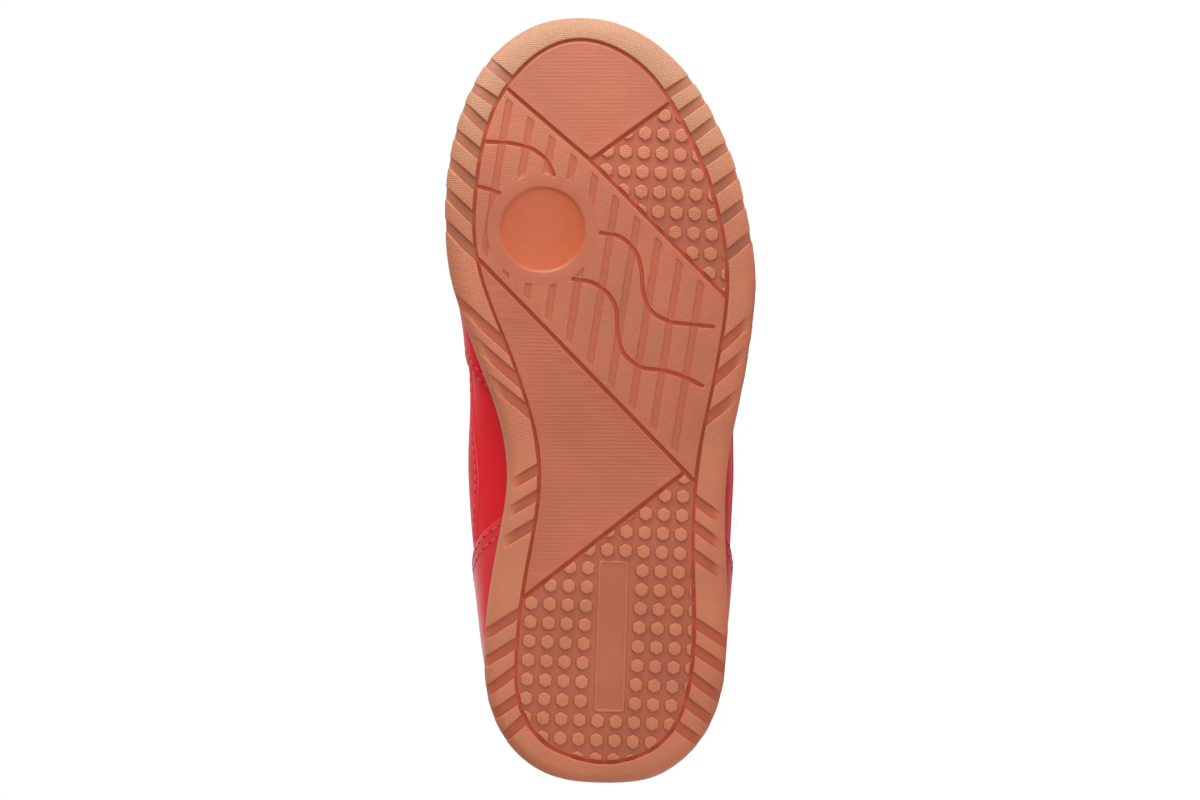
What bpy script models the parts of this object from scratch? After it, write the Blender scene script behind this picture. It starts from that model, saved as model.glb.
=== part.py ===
"""Left indoor court shoe of a junior size, lying on its lateral side, toe along +X, tread to -Y.

The shapes are worked out in the shoe's own frame, in millimetres: x runs from the back of the heel
to the toe, y to the lateral side and z up from the ground it would stand on. One empty then lays the
finished pieces on their side and scales them to metres.
"""
import math
from collections import namedtuple

import bmesh
import bpy
import numpy as np
from mathutils import Matrix, Vector
from mathutils.geometry import delaunay_2d_cdt

MM = 0.001
FULL_TURN = 2 * math.pi
GAP = 0.3
CURVED_GAP = 0.5

# Sole, sizes
SOLE_LENGTH = 225.0
RING_START = 5.6
RING_LENGTH = 214.1
TOE_SPRING = 8.0
SPRING_FROM = 165.0
ARCH_RISE = 0.8
ARCH_FROM = 62.0
ARCH_TO = 132.0
HEEL_BEVEL = 1.2
BEVEL_TO = 11.0
EDGE_RISE = 4.5
FLAT_SHARE = 0.58
WALL_LEAN = 1.0
RIM_WIDTH = 3.0
CUP_DRAFT = 0.6
HEEL_THICK = 11.5
BALL_THICK = 7.5
HEEL_TO = 55.0
BALL_FROM = 135.0

# Tread, sizes
TREAD_DEPTH = 1.3
TREAD_DRAFT = 0.25
LINE_WIDTH = 1.1
RIB_GAP = 2.9
STUD_FLATS = 4.0
STUD_LEFT = 0.45
BAR_WIDTH = 2.1
BAR_PITCH = 7.25
BAR_LEAN = 0.16
BAR_MIDDLE = (145.1, -0.75)
BAR_COUNT = (-5, 4)
BAR_DEPTH = 0.7
BAR_LAND = 1.7
PIVOT_AT = (162.9, -18.1)
PIVOT_RADIUS = 12.5
PIVOT_BAND = 16.5
PIVOT_DEPTH = 1.0
PLATE_AT = (42.8, 2.2)
PLATE_LENGTH = 45.0
PLATE_WIDTH = 9.2
PLATE_TURN = math.radians(1.8)
PLATE_SUNK = 0.5

# Upper, sizes
WALL = 2.2
COLLAR_PAD = 3.0
PAD_TO = 104.0
PAD_FADE = 16.0
PAD_FROM_UP = 0.45
PAD_SPAN_UP = 0.6
BULGE_SHARE = 0.3
UPPER_COLUMNS = 56
UPPER_ROWS = (-1.0, 0.0, 0.09, 0.19, 0.3, 0.42, 0.54, 0.66, 0.78, 0.9, 1.0)
OVERLAY = 1.0
INSOLE_THICK = 3.0
TONGUE_THICK = 4.0
TONGUE_REACH = 18.0
TONGUE_CROWN = 2.0
LACE_WIDTH = 5.5
LACE_THICK = 1.2
LACE_CLEAR = 2.6

# Widest line of the sole and the groove ring inside it, as the plan shows them
Plan = namedtuple("Plan", "station lateral medial")
SOLE_EDGE = [
    Plan(0.0, 0.9, 0.9),
    Plan(0.6, 10.2, -9.0),
    Plan(1.8, 14.7, -14.3),
    Plan(5.3, 20.9, -21.3),
    Plan(12.4, 28.0, -28.4),
    Plan(24.2, 33.8, -33.8),
    Plan(36.0, 36.1, -35.4),
    Plan(53.7, 36.7, -34.3),
    Plan(71.4, 36.0, -31.3),
    Plan(89.0, 36.3, -28.8),
    Plan(101.0, 37.9, -29.8),
    Plan(112.7, 40.4, -32.9),
    Plan(124.4, 42.6, -37.3),
    Plan(136.2, 44.2, -41.7),
    Plan(148.0, 45.0, -45.3),
    Plan(159.8, 43.9, -46.9),
    Plan(171.6, 41.4, -46.9),
    Plan(183.4, 37.9, -45.4),
    Plan(195.2, 32.5, -42.4),
    Plan(207.0, 25.5, -37.4),
    Plan(214.5, 19.0, -32.3),
    Plan(220.0, 11.8, -25.8),
    Plan(223.5, 3.9, -18.6),
    Plan(225.0, -7.1, -7.1),
]
RING_LINE = [
    Plan(5.6, 0.6, 0.6),
    Plan(7.7, 10.6, -10.4),
    Plan(10.0, 15.0, -15.5),
    Plan(13.6, 18.9, -19.8),
    Plan(18.3, 22.0, -23.2),
    Plan(24.2, 24.2, -25.3),
    Plan(30.1, 25.5, -26.0),
    Plan(41.9, 26.6, -25.6),
    Plan(53.7, 26.6, -24.4),
    Plan(65.5, 26.3, -22.4),
    Plan(77.3, 26.4, -20.3),
    Plan(89.1, 27.2, -19.2),
    Plan(100.9, 28.9, -20.1),
    Plan(112.7, 31.4, -23.2),
    Plan(124.4, 33.7, -27.2),
    Plan(136.2, 35.7, -31.9),
    Plan(148.0, 36.5, -36.1),
    Plan(159.8, 35.4, -38.3),
    Plan(171.6, 32.8, -38.2),
    Plan(183.4, 28.7, -36.8),
    Plan(195.2, 23.0, -33.9),
    Plan(203.0, 18.4, -30.4),
    Plan(209.0, 13.9, -26.2),
    Plan(214.0, 8.4, -21.3),
    Plan(217.5, 2.4, -16.0),
    Plan(219.7, -7.1, -7.1),
]

# Rib grooves of the rim: where each leaves the ring, where it meets the edge, and if it cuts the edge
Groove = namedtuple("Groove", "ring_at edge_at cuts_edge")
LATERAL_GROOVES = [
    Groove(16.8, 12.0, 0.1),
    Groove(23.6, 18.0, 0.1),
    Groove(31.0, 24.6, 0.1),
    Groove(39.2, 33.0, 0.1),
    Groove(46.9, 40.6, 0.1),
    Groove(67.2, 60.0, 0.0),
    Groove(75.6, 68.4, 0.0),
    Groove(83.2, 76.5, 0.0),
    Groove(106.8, 115.2, 0.1),
    Groove(118.6, 127.6, 0.1),
    Groove(128.4, 137.0, 0.1),
    Groove(155.0, 161.2, 0.3),
    Groove(165.4, 171.0, 0.3),
    Groove(174.2, 179.6, 0.3),
    Groove(182.6, 187.6, 0.3),
    Groove(189.8, 195.2, 0.3),
    Groove(196.6, 201.6, 0.3),
    Groove(203.0, 207.4, 0.3),
]
MEDIAL_GROOVES = [
    Groove(207.2, 212.6, 0.3),
    Groove(200.6, 205.2, 0.3),
    Groove(192.8, 199.2, 0.3),
    Groove(185.0, 191.4, 0.3),
    Groove(176.0, 183.0, 0.3),
    Groove(166.0, 174.0, 0.3),
    Groove(155.6, 164.4, 0.3),
    Groove(128.6, 141.8, 0.1),
    Groove(118.0, 131.0, 0.1),
    Groove(109.0, 119.6, 0.0),
    Groove(92.4, 86.6, 0.0),
    Groove(84.6, 78.4, 0.0),
    Groove(76.0, 69.4, 0.0),
    Groove(49.8, 43.2, 0.1),
    Groove(41.0, 35.0, 0.1),
    Groove(32.8, 26.4, 0.1),
    Groove(24.6, 19.6, 0.1),
    Groove(18.6, 13.2, 0.1),
]

# Line grooves between the tread zones: each zone lies to the left of its directed lines
TOE_MEDIAL = (204.7, -28.6)
TOE_LATERAL = (200.8, 19.8)
TOE_POINT = (183.4, -4.1)
BALL_LATERAL = (142.7, 36.3)
BALL_MEDIAL = (154.8, -37.7)
WAIST_LATERAL = (88.8, 26.5)
HEEL_LATERAL = (92.0, 22.7)
HEEL_MEDIAL = (56.0, -23.3)
ZONES = {
    "toe": [(TOE_POINT, TOE_MEDIAL), (TOE_LATERAL, TOE_POINT)],
    "ball_studs": [(TOE_POINT, TOE_LATERAL), (BALL_LATERAL, TOE_POINT)],
    "bars": [(TOE_MEDIAL, TOE_POINT), (TOE_POINT, BALL_LATERAL), (WAIST_LATERAL, BALL_MEDIAL)],
    "waist": [(BALL_MEDIAL, WAIST_LATERAL), (HEEL_LATERAL, HEEL_MEDIAL)],
    "heel_studs": [(HEEL_MEDIAL, HEEL_LATERAL), (BALL_MEDIAL, WAIST_LATERAL)],
}
Lattice = namedtuple("Lattice", "zone at across along")
STUD_FIELDS = [
    Lattice("ball_studs", (179.6, 16.8), (-0.3, 5.38), (-5.75, -0.38)),
    Lattice("heel_studs", (50.7, 16.1), (-0.28, 5.36), (-5.61, -0.32)),
]

# Upper, a row for each rib from the sole's rim up to the collar or throat: height of the rim, height
# of the widest point and how far it stands out, the end of the rib at the opening, and its fullness
Rib = namedtuple(
    "Rib",
    "station rim bulge out_lateral out_medial "
    "top_x top_z top_lateral top_medial full_lateral full_medial",
)
UPPER_RIBS = [
    Rib(0.0, 23.0, 37.0, 2.0, 2.0, 10.5, 61.0, 0.5, 0.5, 0.50, 0.50),
    Rib(3.0, 23.0, 37.0, 2.0, 2.0, 11.8, 60.7, 10.0, -9.0, 0.50, 0.50),
    Rib(12.0, 23.0, 36.8, 2.2, 2.4, 16.5, 59.3, 18.8, -18.2, 0.50, 0.50),
    Rib(26.0, 22.5, 36.4, 2.6, 3.2, 26.5, 55.8, 25.2, -24.8, 0.52, 0.52),
    Rib(44.0, 21.5, 36.0, 3.4, 5.2, 42.0, 51.5, 28.8, -28.8, 0.55, 0.55),
    Rib(62.0, 20.5, 35.5, 5.3, 9.6, 57.0, 49.8, 29.4, -29.6, 0.55, 0.55),
    Rib(78.0, 19.8, 35.0, 6.5, 14.2, 70.5, 51.6, 27.8, -28.4, 0.55, 0.55),
    Rib(92.0, 19.2, 34.0, 6.3, 15.8, 81.5, 56.4, 24.6, -25.4, 0.52, 0.55),
    Rib(104.0, 18.8, 33.0, 4.4, 14.2, 90.0, 62.6, 20.6, -21.6, 0.48, 0.52),
    Rib(114.0, 18.4, 32.0, 3.0, 11.0, 97.5, 67.8, 16.8, -18.0, 0.44, 0.48),
    Rib(130.0, 18.0, 30.0, 1.8, 5.2, 109.5, 64.4, 13.2, -14.6, 0.40, 0.45),
    Rib(150.0, 18.0, 28.0, 1.2, 1.8, 124.0, 59.2, 10.6, -12.4, 0.38, 0.44),
    Rib(172.0, 18.4, 26.5, 0.8, 1.0, 137.0, 54.2, 7.8, -10.6, 0.40, 0.46),
    Rib(195.0, 19.6, 26.5, 0.6, 0.8, 147.0, 50.4, 4.6, -8.2, 0.48, 0.52),
    Rib(213.0, 21.2, 26.8, 0.5, 0.6, 151.3, 48.6, 1.4, -5.2, 0.56, 0.58),
    Rib(225.0, 22.0, 27.0, 0.4, 0.4, 152.5, 48.0, -2.0, -2.0, 0.60, 0.60),
]

# Overlays on the upper: stations of their two ends, how far the ends lean, and where they lie up the rib
Overlay = namedtuple("Overlay", "name lateral medial lean low high")
TOE_GUARD = Overlay("toe_guard", 128.0, 120.0, 0.105, 0.12, 0.54)
HEEL_COUNTER = Overlay("heel_counter", 72.0, 69.5, 0.35, 0.12, 0.66)
EYESTAY = Overlay("eyestay", 112.0, 112.0, 0.0, 0.78, 0.985)
EYELET_STATIONS = (117.0, 133.0, 150.0, 168.0, 188.0)
EYELET_UP = 0.87

SOLE_DENSITY = 1200
LEATHER_DENSITY = 900
CLOTH_DENSITY = 300


def closed_spline(angles, values):
    """Smooth closed curve through values at rising angles of one turn, as a function of the angle."""
    angles = np.asarray(angles, float)
    values = np.asarray(values, float)
    count = len(angles)
    row = np.arange(count)
    step = np.diff(np.append(angles, angles[0] + FULL_TURN))
    slope = np.diff(np.append(values, values[0])) / step
    before = np.roll(step, 1)
    matrix = np.diag(2 * (before + step))
    matrix[row, row - 1] += step
    matrix[row, (row + 1) % count] += before
    pull = np.linalg.solve(matrix, 3 * (step * np.roll(slope, 1) + before * slope))

    def curve(angle):
        angle = angles[0] + np.mod(np.asarray(angle, float) - angles[0], FULL_TURN)
        here = np.clip(np.searchsorted(angles, angle, side="right") - 1, 0, count - 1)
        after = (here + 1) % count
        t = (angle - angles[here]) / step[here]
        ease = t * t * (3 - 2 * t)
        bend = t * (1 - t) * step[here] * (pull[here] * (1 - t) - pull[after] * t)
        return values[here] * (1 - ease) + values[after] * ease + bend

    return curve


def turn_of(station, start=0.0, length=SOLE_LENGTH):
    """Angle that stands for a station: 0 at the back of the heel, half a turn at the toe."""
    return np.arccos(np.clip(1 - 2 * (np.asarray(station, float) - start) / length, -1, 1))


def round_trip(rows, lateral, medial, start=0.0, length=SOLE_LENGTH):
    """Closed curve of a table: the lateral column from heel to toe, then the medial one back."""
    knots = []
    for row in rows:
        knots.append((turn_of(row.station, start, length), getattr(row, lateral)))
    for row in rows[-2:0:-1]:
        knots.append((FULL_TURN - turn_of(row.station, start, length), getattr(row, medial)))
    angles, values = zip(*knots)
    return closed_spline(angles, values)


EDGE_Y = round_trip(SOLE_EDGE, "lateral", "medial")
RING_Y = round_trip(RING_LINE, "lateral", "medial", RING_START, RING_LENGTH)
RIM_Z = round_trip(UPPER_RIBS, "rim", "rim")
BULGE_Z = round_trip(UPPER_RIBS, "bulge", "bulge")
BULGE_OUT = round_trip(UPPER_RIBS, "out_lateral", "out_medial")
TOP_X = round_trip(UPPER_RIBS, "top_x", "top_x")
TOP_Y = round_trip(UPPER_RIBS, "top_lateral", "top_medial")
TOP_Z = round_trip(UPPER_RIBS, "top_z", "top_z")
FULLNESS = round_trip(UPPER_RIBS, "full_lateral", "full_medial")


def edge_line(angle):
    """Widest line of the sole in plan."""
    return np.stack([SOLE_LENGTH / 2 * (1 - np.cos(angle)), EDGE_Y(angle)], -1)


def ring_line(angle):
    """Middle of the groove ring in plan."""
    return np.stack([RING_START + RING_LENGTH / 2 * (1 - np.cos(angle)), RING_Y(angle)], -1)


def travel(line, angle):
    """How a plan line moves for a small turn of the angle."""
    return (line(angle + 1e-4) - line(angle - 1e-4)) / 2e-4


def outward(line, angle):
    """Unit plan normal of a closed line, away from its inside."""
    along = travel(line, angle)
    along = along / np.linalg.norm(along, axis=-1, keepdims=True)
    return np.stack([-along[..., 1], along[..., 0]], -1)


def crossing(line, angle, way):
    """How far a plan line moves across a direction for a turn of the angle."""
    along = travel(line, angle)
    return abs(along[0] * way[1] - along[1] * way[0]) / np.linalg.norm(way)


def inset(line, angle, distance):
    """Plan line moved in from a closed line by a distance."""
    return line(angle) - distance * outward(line, angle)


def ground(x):
    """Height of the tread plane: flat at heel and ball, with arch, toe spring and heel bevel."""
    arch = np.sin(math.pi * np.clip((x - ARCH_FROM) / (ARCH_TO - ARCH_FROM), 0, 1)) ** 2
    spring = np.clip((x - SPRING_FROM) / (SOLE_LENGTH - SPRING_FROM), 0, 1) ** 2
    bevel = np.clip((BEVEL_TO - x) / BEVEL_TO, 0, 1) ** 2
    return ARCH_RISE * arch + TOE_SPRING * spring + HEEL_BEVEL * bevel


def cup_floor(x):
    """Height of the floor inside the cup sole, thick at the heel and thin at the ball."""
    fall = np.clip((x - HEEL_TO) / (BALL_FROM - HEEL_TO), 0, 1)
    return ground(x) + HEEL_THICK + (BALL_THICK - HEEL_THICK) * fall * fall * (3 - 2 * fall)


def lifted(plan, height):
    """Plan points given a height each."""
    return np.concatenate([plan, np.broadcast_to(height, plan.shape[:-1])[..., None]], -1)


def clip(polygon, start, end, shift=0.0):
    """Part of a plan polygon left of a directed line that is moved left by a distance."""
    along = np.subtract(end, start) / np.linalg.norm(np.subtract(end, start))
    away = polygon - np.asarray(start)
    side = along[0] * away[:, 1] - along[1] * away[:, 0] - shift
    kept = []
    for here in range(len(polygon)):
        after = (here + 1) % len(polygon)
        if side[here] >= 0:
            kept.append(polygon[here])
        if side[here] * side[after] < 0:
            share = side[here] / (side[here] - side[after])
            kept.append(polygon[here] + share * (polygon[after] - polygon[here]))
    return np.array(kept).reshape(-1, 2)


def zone_outline(zone, distance, count=64):
    """Outline of a tread zone, in from its line grooves and from the ring by a distance."""
    angle = np.linspace(0, FULL_TURN, count, endpoint=False)
    outline = inset(ring_line, angle, distance)
    for start, end in ZONES[zone]:
        outline = clip(outline, start, end, distance)
    return outline


def area(polygon):
    """Area of a plan polygon."""
    ahead = np.roll(polygon, -1, 0)
    return 0.5 * abs(np.sum(polygon[:, 0] * ahead[:, 1] - polygon[:, 1] * ahead[:, 0]))


def inside(polygon, points):
    """Which plan points lie inside a polygon."""
    found = np.zeros(len(points), bool)
    for a, b in zip(polygon, np.roll(polygon, -1, 0)):
        if a[1] == b[1]:
            continue
        between = (a[1] > points[:, 1]) != (b[1] > points[:, 1])
        cross = a[0] + (points[:, 1] - a[1]) / (b[1] - a[1]) * (b[0] - a[0])
        found ^= between & (points[:, 0] < cross)
    return found


def plate_outline(grow=0.0):
    """Rounded rectangle of the bare heel plate, with two points a corner."""
    half = np.array([PLATE_LENGTH / 2 + grow, PLATE_WIDTH / 2 + grow])
    quarter = np.array([(1, 0.8), (0.95, 1)])
    upper_half = np.concatenate([quarter, (quarter * (-1, 1))[::-1]])
    corners = np.concatenate([upper_half, (upper_half * (1, -1))[::-1]]) * half
    along = np.array([math.cos(PLATE_TURN), math.sin(PLATE_TURN)])
    across = np.array([-along[1], along[0]])
    return np.asarray(PLATE_AT) + corners[:, :1] * along + corners[:, 1:] * across


def stud_outlines(draft):
    """Plan outlines of the hexagonal studs, cut off where their zone ends, smaller by the draft."""
    outlines = []
    angle = np.radians(np.arange(0, 360, 60) + 3.2)
    flats = STUD_FLATS - 2 * draft
    hexagon = flats / math.sqrt(3) * np.stack([np.cos(angle), np.sin(angle)], -1)
    plate = plate_outline(STUD_FLATS * 0.62)
    for field in STUD_FIELDS:
        zone = zone_outline(field.zone, LINE_WIDTH / 2 + 0.3 + draft)
        for row in range(-12, 13):
            for column in range(-12, 13):
                middle = np.add(field.at, np.multiply(row, field.along))
                middle = middle + np.multiply(column, field.across)
                if inside(plate, middle[None])[0]:
                    continue
                stud = zone
                for start, end in zip(hexagon + middle, np.roll(hexagon, -1, 0) + middle):
                    stud = clip(stud, start, end)
                    if len(stud) < 3:
                        break
                if len(stud) > 2 and area(stud) > STUD_LEFT * area(hexagon):
                    outlines.append(stud)
    return outlines


def bar_outlines(draft):
    """Plan outlines of the leaning bars sunk in the middle zone, cut off at the pivot's flat band."""
    outlines = []
    along = np.array([1.0, BAR_LEAN]) / math.hypot(1, BAR_LEAN)
    across = np.array([-along[1], along[0]])
    half = (BAR_WIDTH / 2 - draft) * across
    zone = zone_outline("bars", LINE_WIDTH / 2 + BAR_LAND + draft)
    for number in range(BAR_COUNT[0], BAR_COUNT[1] + 1):
        middle = np.add(BAR_MIDDLE, (0, BAR_PITCH * number))
        bar = clip(zone, middle - half, middle - half + along)
        bar = clip(bar, middle + half, middle + half - along)
        off = np.subtract(PIVOT_AT, middle)
        reach = PIVOT_BAND**2 - float(off @ across) ** 2
        if reach <= 0:
            outlines.append(bar)
            continue
        for way in (1, -1):
            stop = middle + (float(off @ along) + way * (math.sqrt(reach) + draft)) * along
            piece = clip(bar, stop + way * across, stop)
            if len(piece) > 2 and area(piece) > BAR_WIDTH:
                outlines.append(piece)
    return [bar for bar in outlines if len(bar) > 2]


def circle(middle, radius, count=24):
    """Plan circle as a polygon."""
    angle = np.linspace(0, FULL_TURN, count, endpoint=False)
    return np.asarray(middle) + radius * np.stack([np.cos(angle), np.sin(angle)], -1)


def scattered(x_range, y_range, polygon):
    """Plan points of a grid, from start, stop and step each way, that lie inside a polygon."""
    across, along = np.meshgrid(np.arange(*y_range), np.arange(*x_range))
    points = np.stack([along.ravel(), across.ravel()], -1)
    return points[inside(polygon, points)]


def fill_plan(loops, spots):
    """Triangles of the plan inside the first loop, with each loop kept as an edge line."""
    points = np.concatenate(loops + [spots])
    edges = []
    start = 0
    for loop in loops:
        ids = np.arange(start, start + len(loop))
        edges += list(zip(ids.tolist(), np.roll(ids, -1).tolist()))
        start += len(loop)
    flat = [Vector((float(x), float(y))) for x, y in points]
    _, _, faces, origins, _, _ = delaunay_2d_cdt(flat, edges, [], 0, 1e-5)
    if not all(origins):
        raise RuntimeError("two edge lines of the plan cross")
    kept = np.array([[origins[vertex][0] for vertex in face] for face in faces])
    return points, kept[inside(loops[0], points[kept].mean(1))]


def tread_loops():
    """Edge lines of the tread inside the ring, each with its depth below the tread plane."""
    loops = []
    half = LINE_WIDTH / 2
    for zone in ("toe", "bars", "waist"):
        loops.append((zone_outline(zone, half - TREAD_DRAFT / 2), TREAD_DEPTH))
        loops.append((zone_outline(zone, half + TREAD_DRAFT / 2), 0.0))
    for stud in stud_outlines(0.0):
        loops.append((stud, TREAD_DEPTH))
    for stud in stud_outlines(TREAD_DRAFT):
        loops.append((stud, 0.0))
    for bar in bar_outlines(0.0):
        loops.append((bar, 0.0))
    for bar in bar_outlines(TREAD_DRAFT):
        loops.append((bar, BAR_DEPTH))
    loops.append((circle(PIVOT_AT, PIVOT_RADIUS), 0.0))
    loops.append((circle(PIVOT_AT, PIVOT_RADIUS - TREAD_DRAFT), PIVOT_DEPTH * 0.5))
    loops.append((circle(PIVOT_AT, PIVOT_RADIUS * 0.55, 12), PIVOT_DEPTH))
    loops.append((plate_outline(), TREAD_DEPTH))
    loops.append((plate_outline(-TREAD_DRAFT), PLATE_SUNK))
    return loops


def rim_columns():
    """Ring angle, edge angle, groove share and cut of the edge for each column round the rim."""
    marks = []
    for grooves, medial in ((LATERAL_GROOVES, False), (MEDIAL_GROOVES, True)):
        for groove in grooves:
            ring = turn_of(groove.ring_at, RING_START, RING_LENGTH)
            edge = turn_of(groove.edge_at)
            if medial:
                ring = FULL_TURN - ring
                edge = FULL_TURN - edge
            ring_pace = crossing(ring_line, ring, edge_line(edge) - ring_line(ring))
            edge_pace = crossing(edge_line, edge, edge_line(edge) - ring_line(ring))
            top = RIB_GAP / 2 + TREAD_DRAFT
            floor = RIB_GAP / 2
            for away, share in ((-top, 0), (-floor, 1), (floor, 1), (top, 0)):
                marks.append((ring + away / ring_pace, edge + away / edge_pace, share, groove.cuts_edge))
    columns = []
    for here, after in zip(marks, marks[1:] + [marks[0]]):
        columns.append(here)
        if here[2] or after[2]:
            continue
        lap = FULL_TURN if after is marks[0] else 0.0
        spread = np.linspace(here[1], after[1] + lap, 50)
        length = np.sum(np.linalg.norm(np.diff(edge_line(spread), axis=0), axis=1))
        extra = int(length // 9)
        for number in range(1, extra + 1):
            share = number / (extra + 1)
            ring = here[0] + share * (after[0] + lap - here[0])
            edge = here[1] + share * (after[1] + lap - here[1])
            columns.append((ring, edge, 0, 0.0))
    return np.array(columns)


def outsole():
    """One moulded cup sole: tread, ribbed rim, side wall, rim and the floor of the cup."""
    ring_angle, edge_angle, groove, cuts = rim_columns().T
    ring = ring_line(ring_angle)
    edge = edge_line(edge_angle)
    normal = outward(edge_line, edge_angle)
    way = (edge - ring) / np.linalg.norm(edge - ring, axis=1, keepdims=True)
    sunk = TREAD_DEPTH * groove
    rows = []
    for out, depth in ((0.0, TREAD_DEPTH), (LINE_WIDTH / 2 - TREAD_DRAFT / 2, TREAD_DEPTH)):
        plan = ring + out * way
        rows.append(lifted(plan, ground(plan[:, 0]) + depth))
    plan = ring + (LINE_WIDTH / 2 + TREAD_DRAFT / 2) * way
    rows.append(lifted(plan, ground(plan[:, 0]) + sunk))
    for bend in (0.0, 0.6, 0.9, 1.0):
        plan = ring + (FLAT_SHARE + (1 - FLAT_SHARE) * bend) * (edge - ring)
        rise = EDGE_RISE * (1 - math.sqrt(1 - bend * bend))
        depth = sunk * (1 + (cuts - 1) * bend * bend)
        height = ground(plan[:, 0]) + rise + depth * math.sqrt(1 - bend * bend)
        rows.append(lifted(plan - (depth * bend)[:, None] * normal, height))
    rim = RIM_Z(edge_angle)
    foot = ground(edge[:, 0]) + EDGE_RISE
    waist = 0.3 * WALL_LEAN + 0.5 * sunk * cuts
    rows.append(lifted(edge - waist[:, None] * normal, foot + 0.35 * (rim - foot)))
    for out, height in ((WALL_LEAN, rim), (RIM_WIDTH, rim)):
        rows.append(lifted(edge - out * normal, height))
    plan = edge - (RIM_WIDTH + CUP_DRAFT) * normal
    rows.append(lifted(plan, cup_floor(plan[:, 0])))

    grid = np.stack(rows, 1)
    columns, levels = grid.shape[:2]
    points = [grid.reshape(-1, 3)]
    faces = []
    for column in range(columns):
        after = (column + 1) % columns
        for level in range(levels - 1):
            here = column * levels + level
            there = after * levels + level
            faces.append([here, there, there + 1, here + 1])
    total = columns * levels

    loops = tread_loops()
    spots = scattered((188.0, 216.0, 7.0), (-24.0, 12.0, 8.0), zone_outline("toe", 3.0))
    plan, triangles = fill_plan([ring] + [loop for loop, _ in loops], spots)
    depth = [np.full(columns, TREAD_DEPTH)]
    depth += [np.full(len(loop), sunk_by) for loop, sunk_by in loops]
    depth = np.concatenate(depth + [np.zeros(len(spots))])
    points.append(lifted(plan, ground(plan[:, 0]) + depth)[columns:])
    place = np.concatenate([np.arange(columns) * levels, total + np.arange(len(plan) - columns)])
    faces += place[triangles].tolist()
    total += len(plan) - columns

    floor = grid[:, -1, :2]
    spots = scattered((20.0, 215.0, 13.0), (-20.0, 21.0, 20.0), inset(edge_line, edge_angle, 12.0))
    plan, triangles = fill_plan([floor], spots)
    points.append(lifted(plan, cup_floor(plan[:, 0]))[columns:])
    place = np.concatenate([np.arange(columns) * levels + levels - 1, total + np.arange(len(spots))])
    faces += place[triangles].tolist()
    return np.concatenate(points), faces


def upper_point(angle, up):
    """Point of the upper's outside: up is 0 at the sole's rim, 1 at the opening, -1 on the cup's floor."""
    angle, up = np.broadcast_arrays(np.asarray(angle, float), np.asarray(up, float))
    normal = outward(edge_line, angle)
    rim = edge_line(angle) - (RIM_WIDTH + CURVED_GAP) * normal
    rim_z = RIM_Z(angle) + GAP
    turn = np.clip(up / BULGE_SHARE, 0, 1) * math.pi / 2
    plan = rim + (BULGE_OUT(angle) * np.sin(turn))[..., None] * normal
    height = rim_z + (BULGE_Z(angle) - rim_z) * (1 - np.cos(turn))
    rise = np.clip((up - BULGE_SHARE) / (1 - BULGE_SHARE), 0, 1)
    top = np.stack([TOP_X(angle), TOP_Y(angle)], -1)
    plan = plan + (rise * rise)[..., None] * (top - plan)
    curve = 2 * rise * (1 - rise) * FULLNESS(angle) + rise * rise
    height = height + curve * (TOP_Z(angle) - height)
    down = np.clip(-up, 0, 1)
    plan = plan - (CUP_DRAFT * down)[..., None] * normal
    height = height + down * (cup_floor(plan[..., 0]) + GAP - rim_z)
    return np.concatenate([plan, height[..., None]], -1)


def upper_normal(angle, up):
    """Outward unit normal of the upper's outside."""
    step = 2e-3
    low = np.maximum(np.asarray(up, float) - step, -1)
    high = np.minimum(np.asarray(up, float) + step, 1)
    along = upper_point(angle + step, up) - upper_point(angle - step, up)
    climb = upper_point(angle, high) - upper_point(angle, low)
    normal = np.cross(climb, along)
    return normal / np.linalg.norm(normal, axis=-1, keepdims=True)


def upper_thickness(angle, up):
    """Wall of the upper, with the padding of the collar in it."""
    padded = np.clip((PAD_TO - SOLE_LENGTH / 2 * (1 - np.cos(angle))) / PAD_FADE, 0, 1)
    pad = np.sin(math.pi * np.clip((up - PAD_FROM_UP) / PAD_SPAN_UP, 0, 1)) ** 2
    return WALL + COLLAR_PAD * padded * pad


def shell(outer, inner, closed):
    """Points and quads of the solid between two grids of points, a column for each rib."""
    columns, rows = outer.shape[:2]
    points = np.concatenate([outer.reshape(-1, 3), inner.reshape(-1, 3)])

    number = np.arange(2 * columns * rows).reshape(2, columns, rows)
    faces = []

    def join(one, other):
        faces.extend(np.stack([one[:-1], one[1:], other[1:], other[:-1]], -1).tolist())

    if closed:
        number = np.concatenate([number, number[:, :1]], 1)
    for row in range(rows - 1):
        join(number[0, :, row], number[0, :, row + 1])
        join(number[1, :, row + 1], number[1, :, row])
    for row in (0, -1):
        join(number[0, :, row], number[1, :, row])
    if not closed:
        for column in (0, -1):
            join(number[0, column], number[1, column])
    return points, faces


def upper():
    """Hollow upper, open at collar and throat and underneath."""
    angle = np.linspace(0, FULL_TURN, UPPER_COLUMNS, endpoint=False)[:, None]
    up = np.array(UPPER_ROWS)[None, :]
    outer = upper_point(angle, up)
    inner = outer - upper_thickness(angle, up)[..., None] * upper_normal(angle, up)
    inner[:, 0, 2] = outer[:, 0, 2]
    return shell(outer, inner, True)


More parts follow.
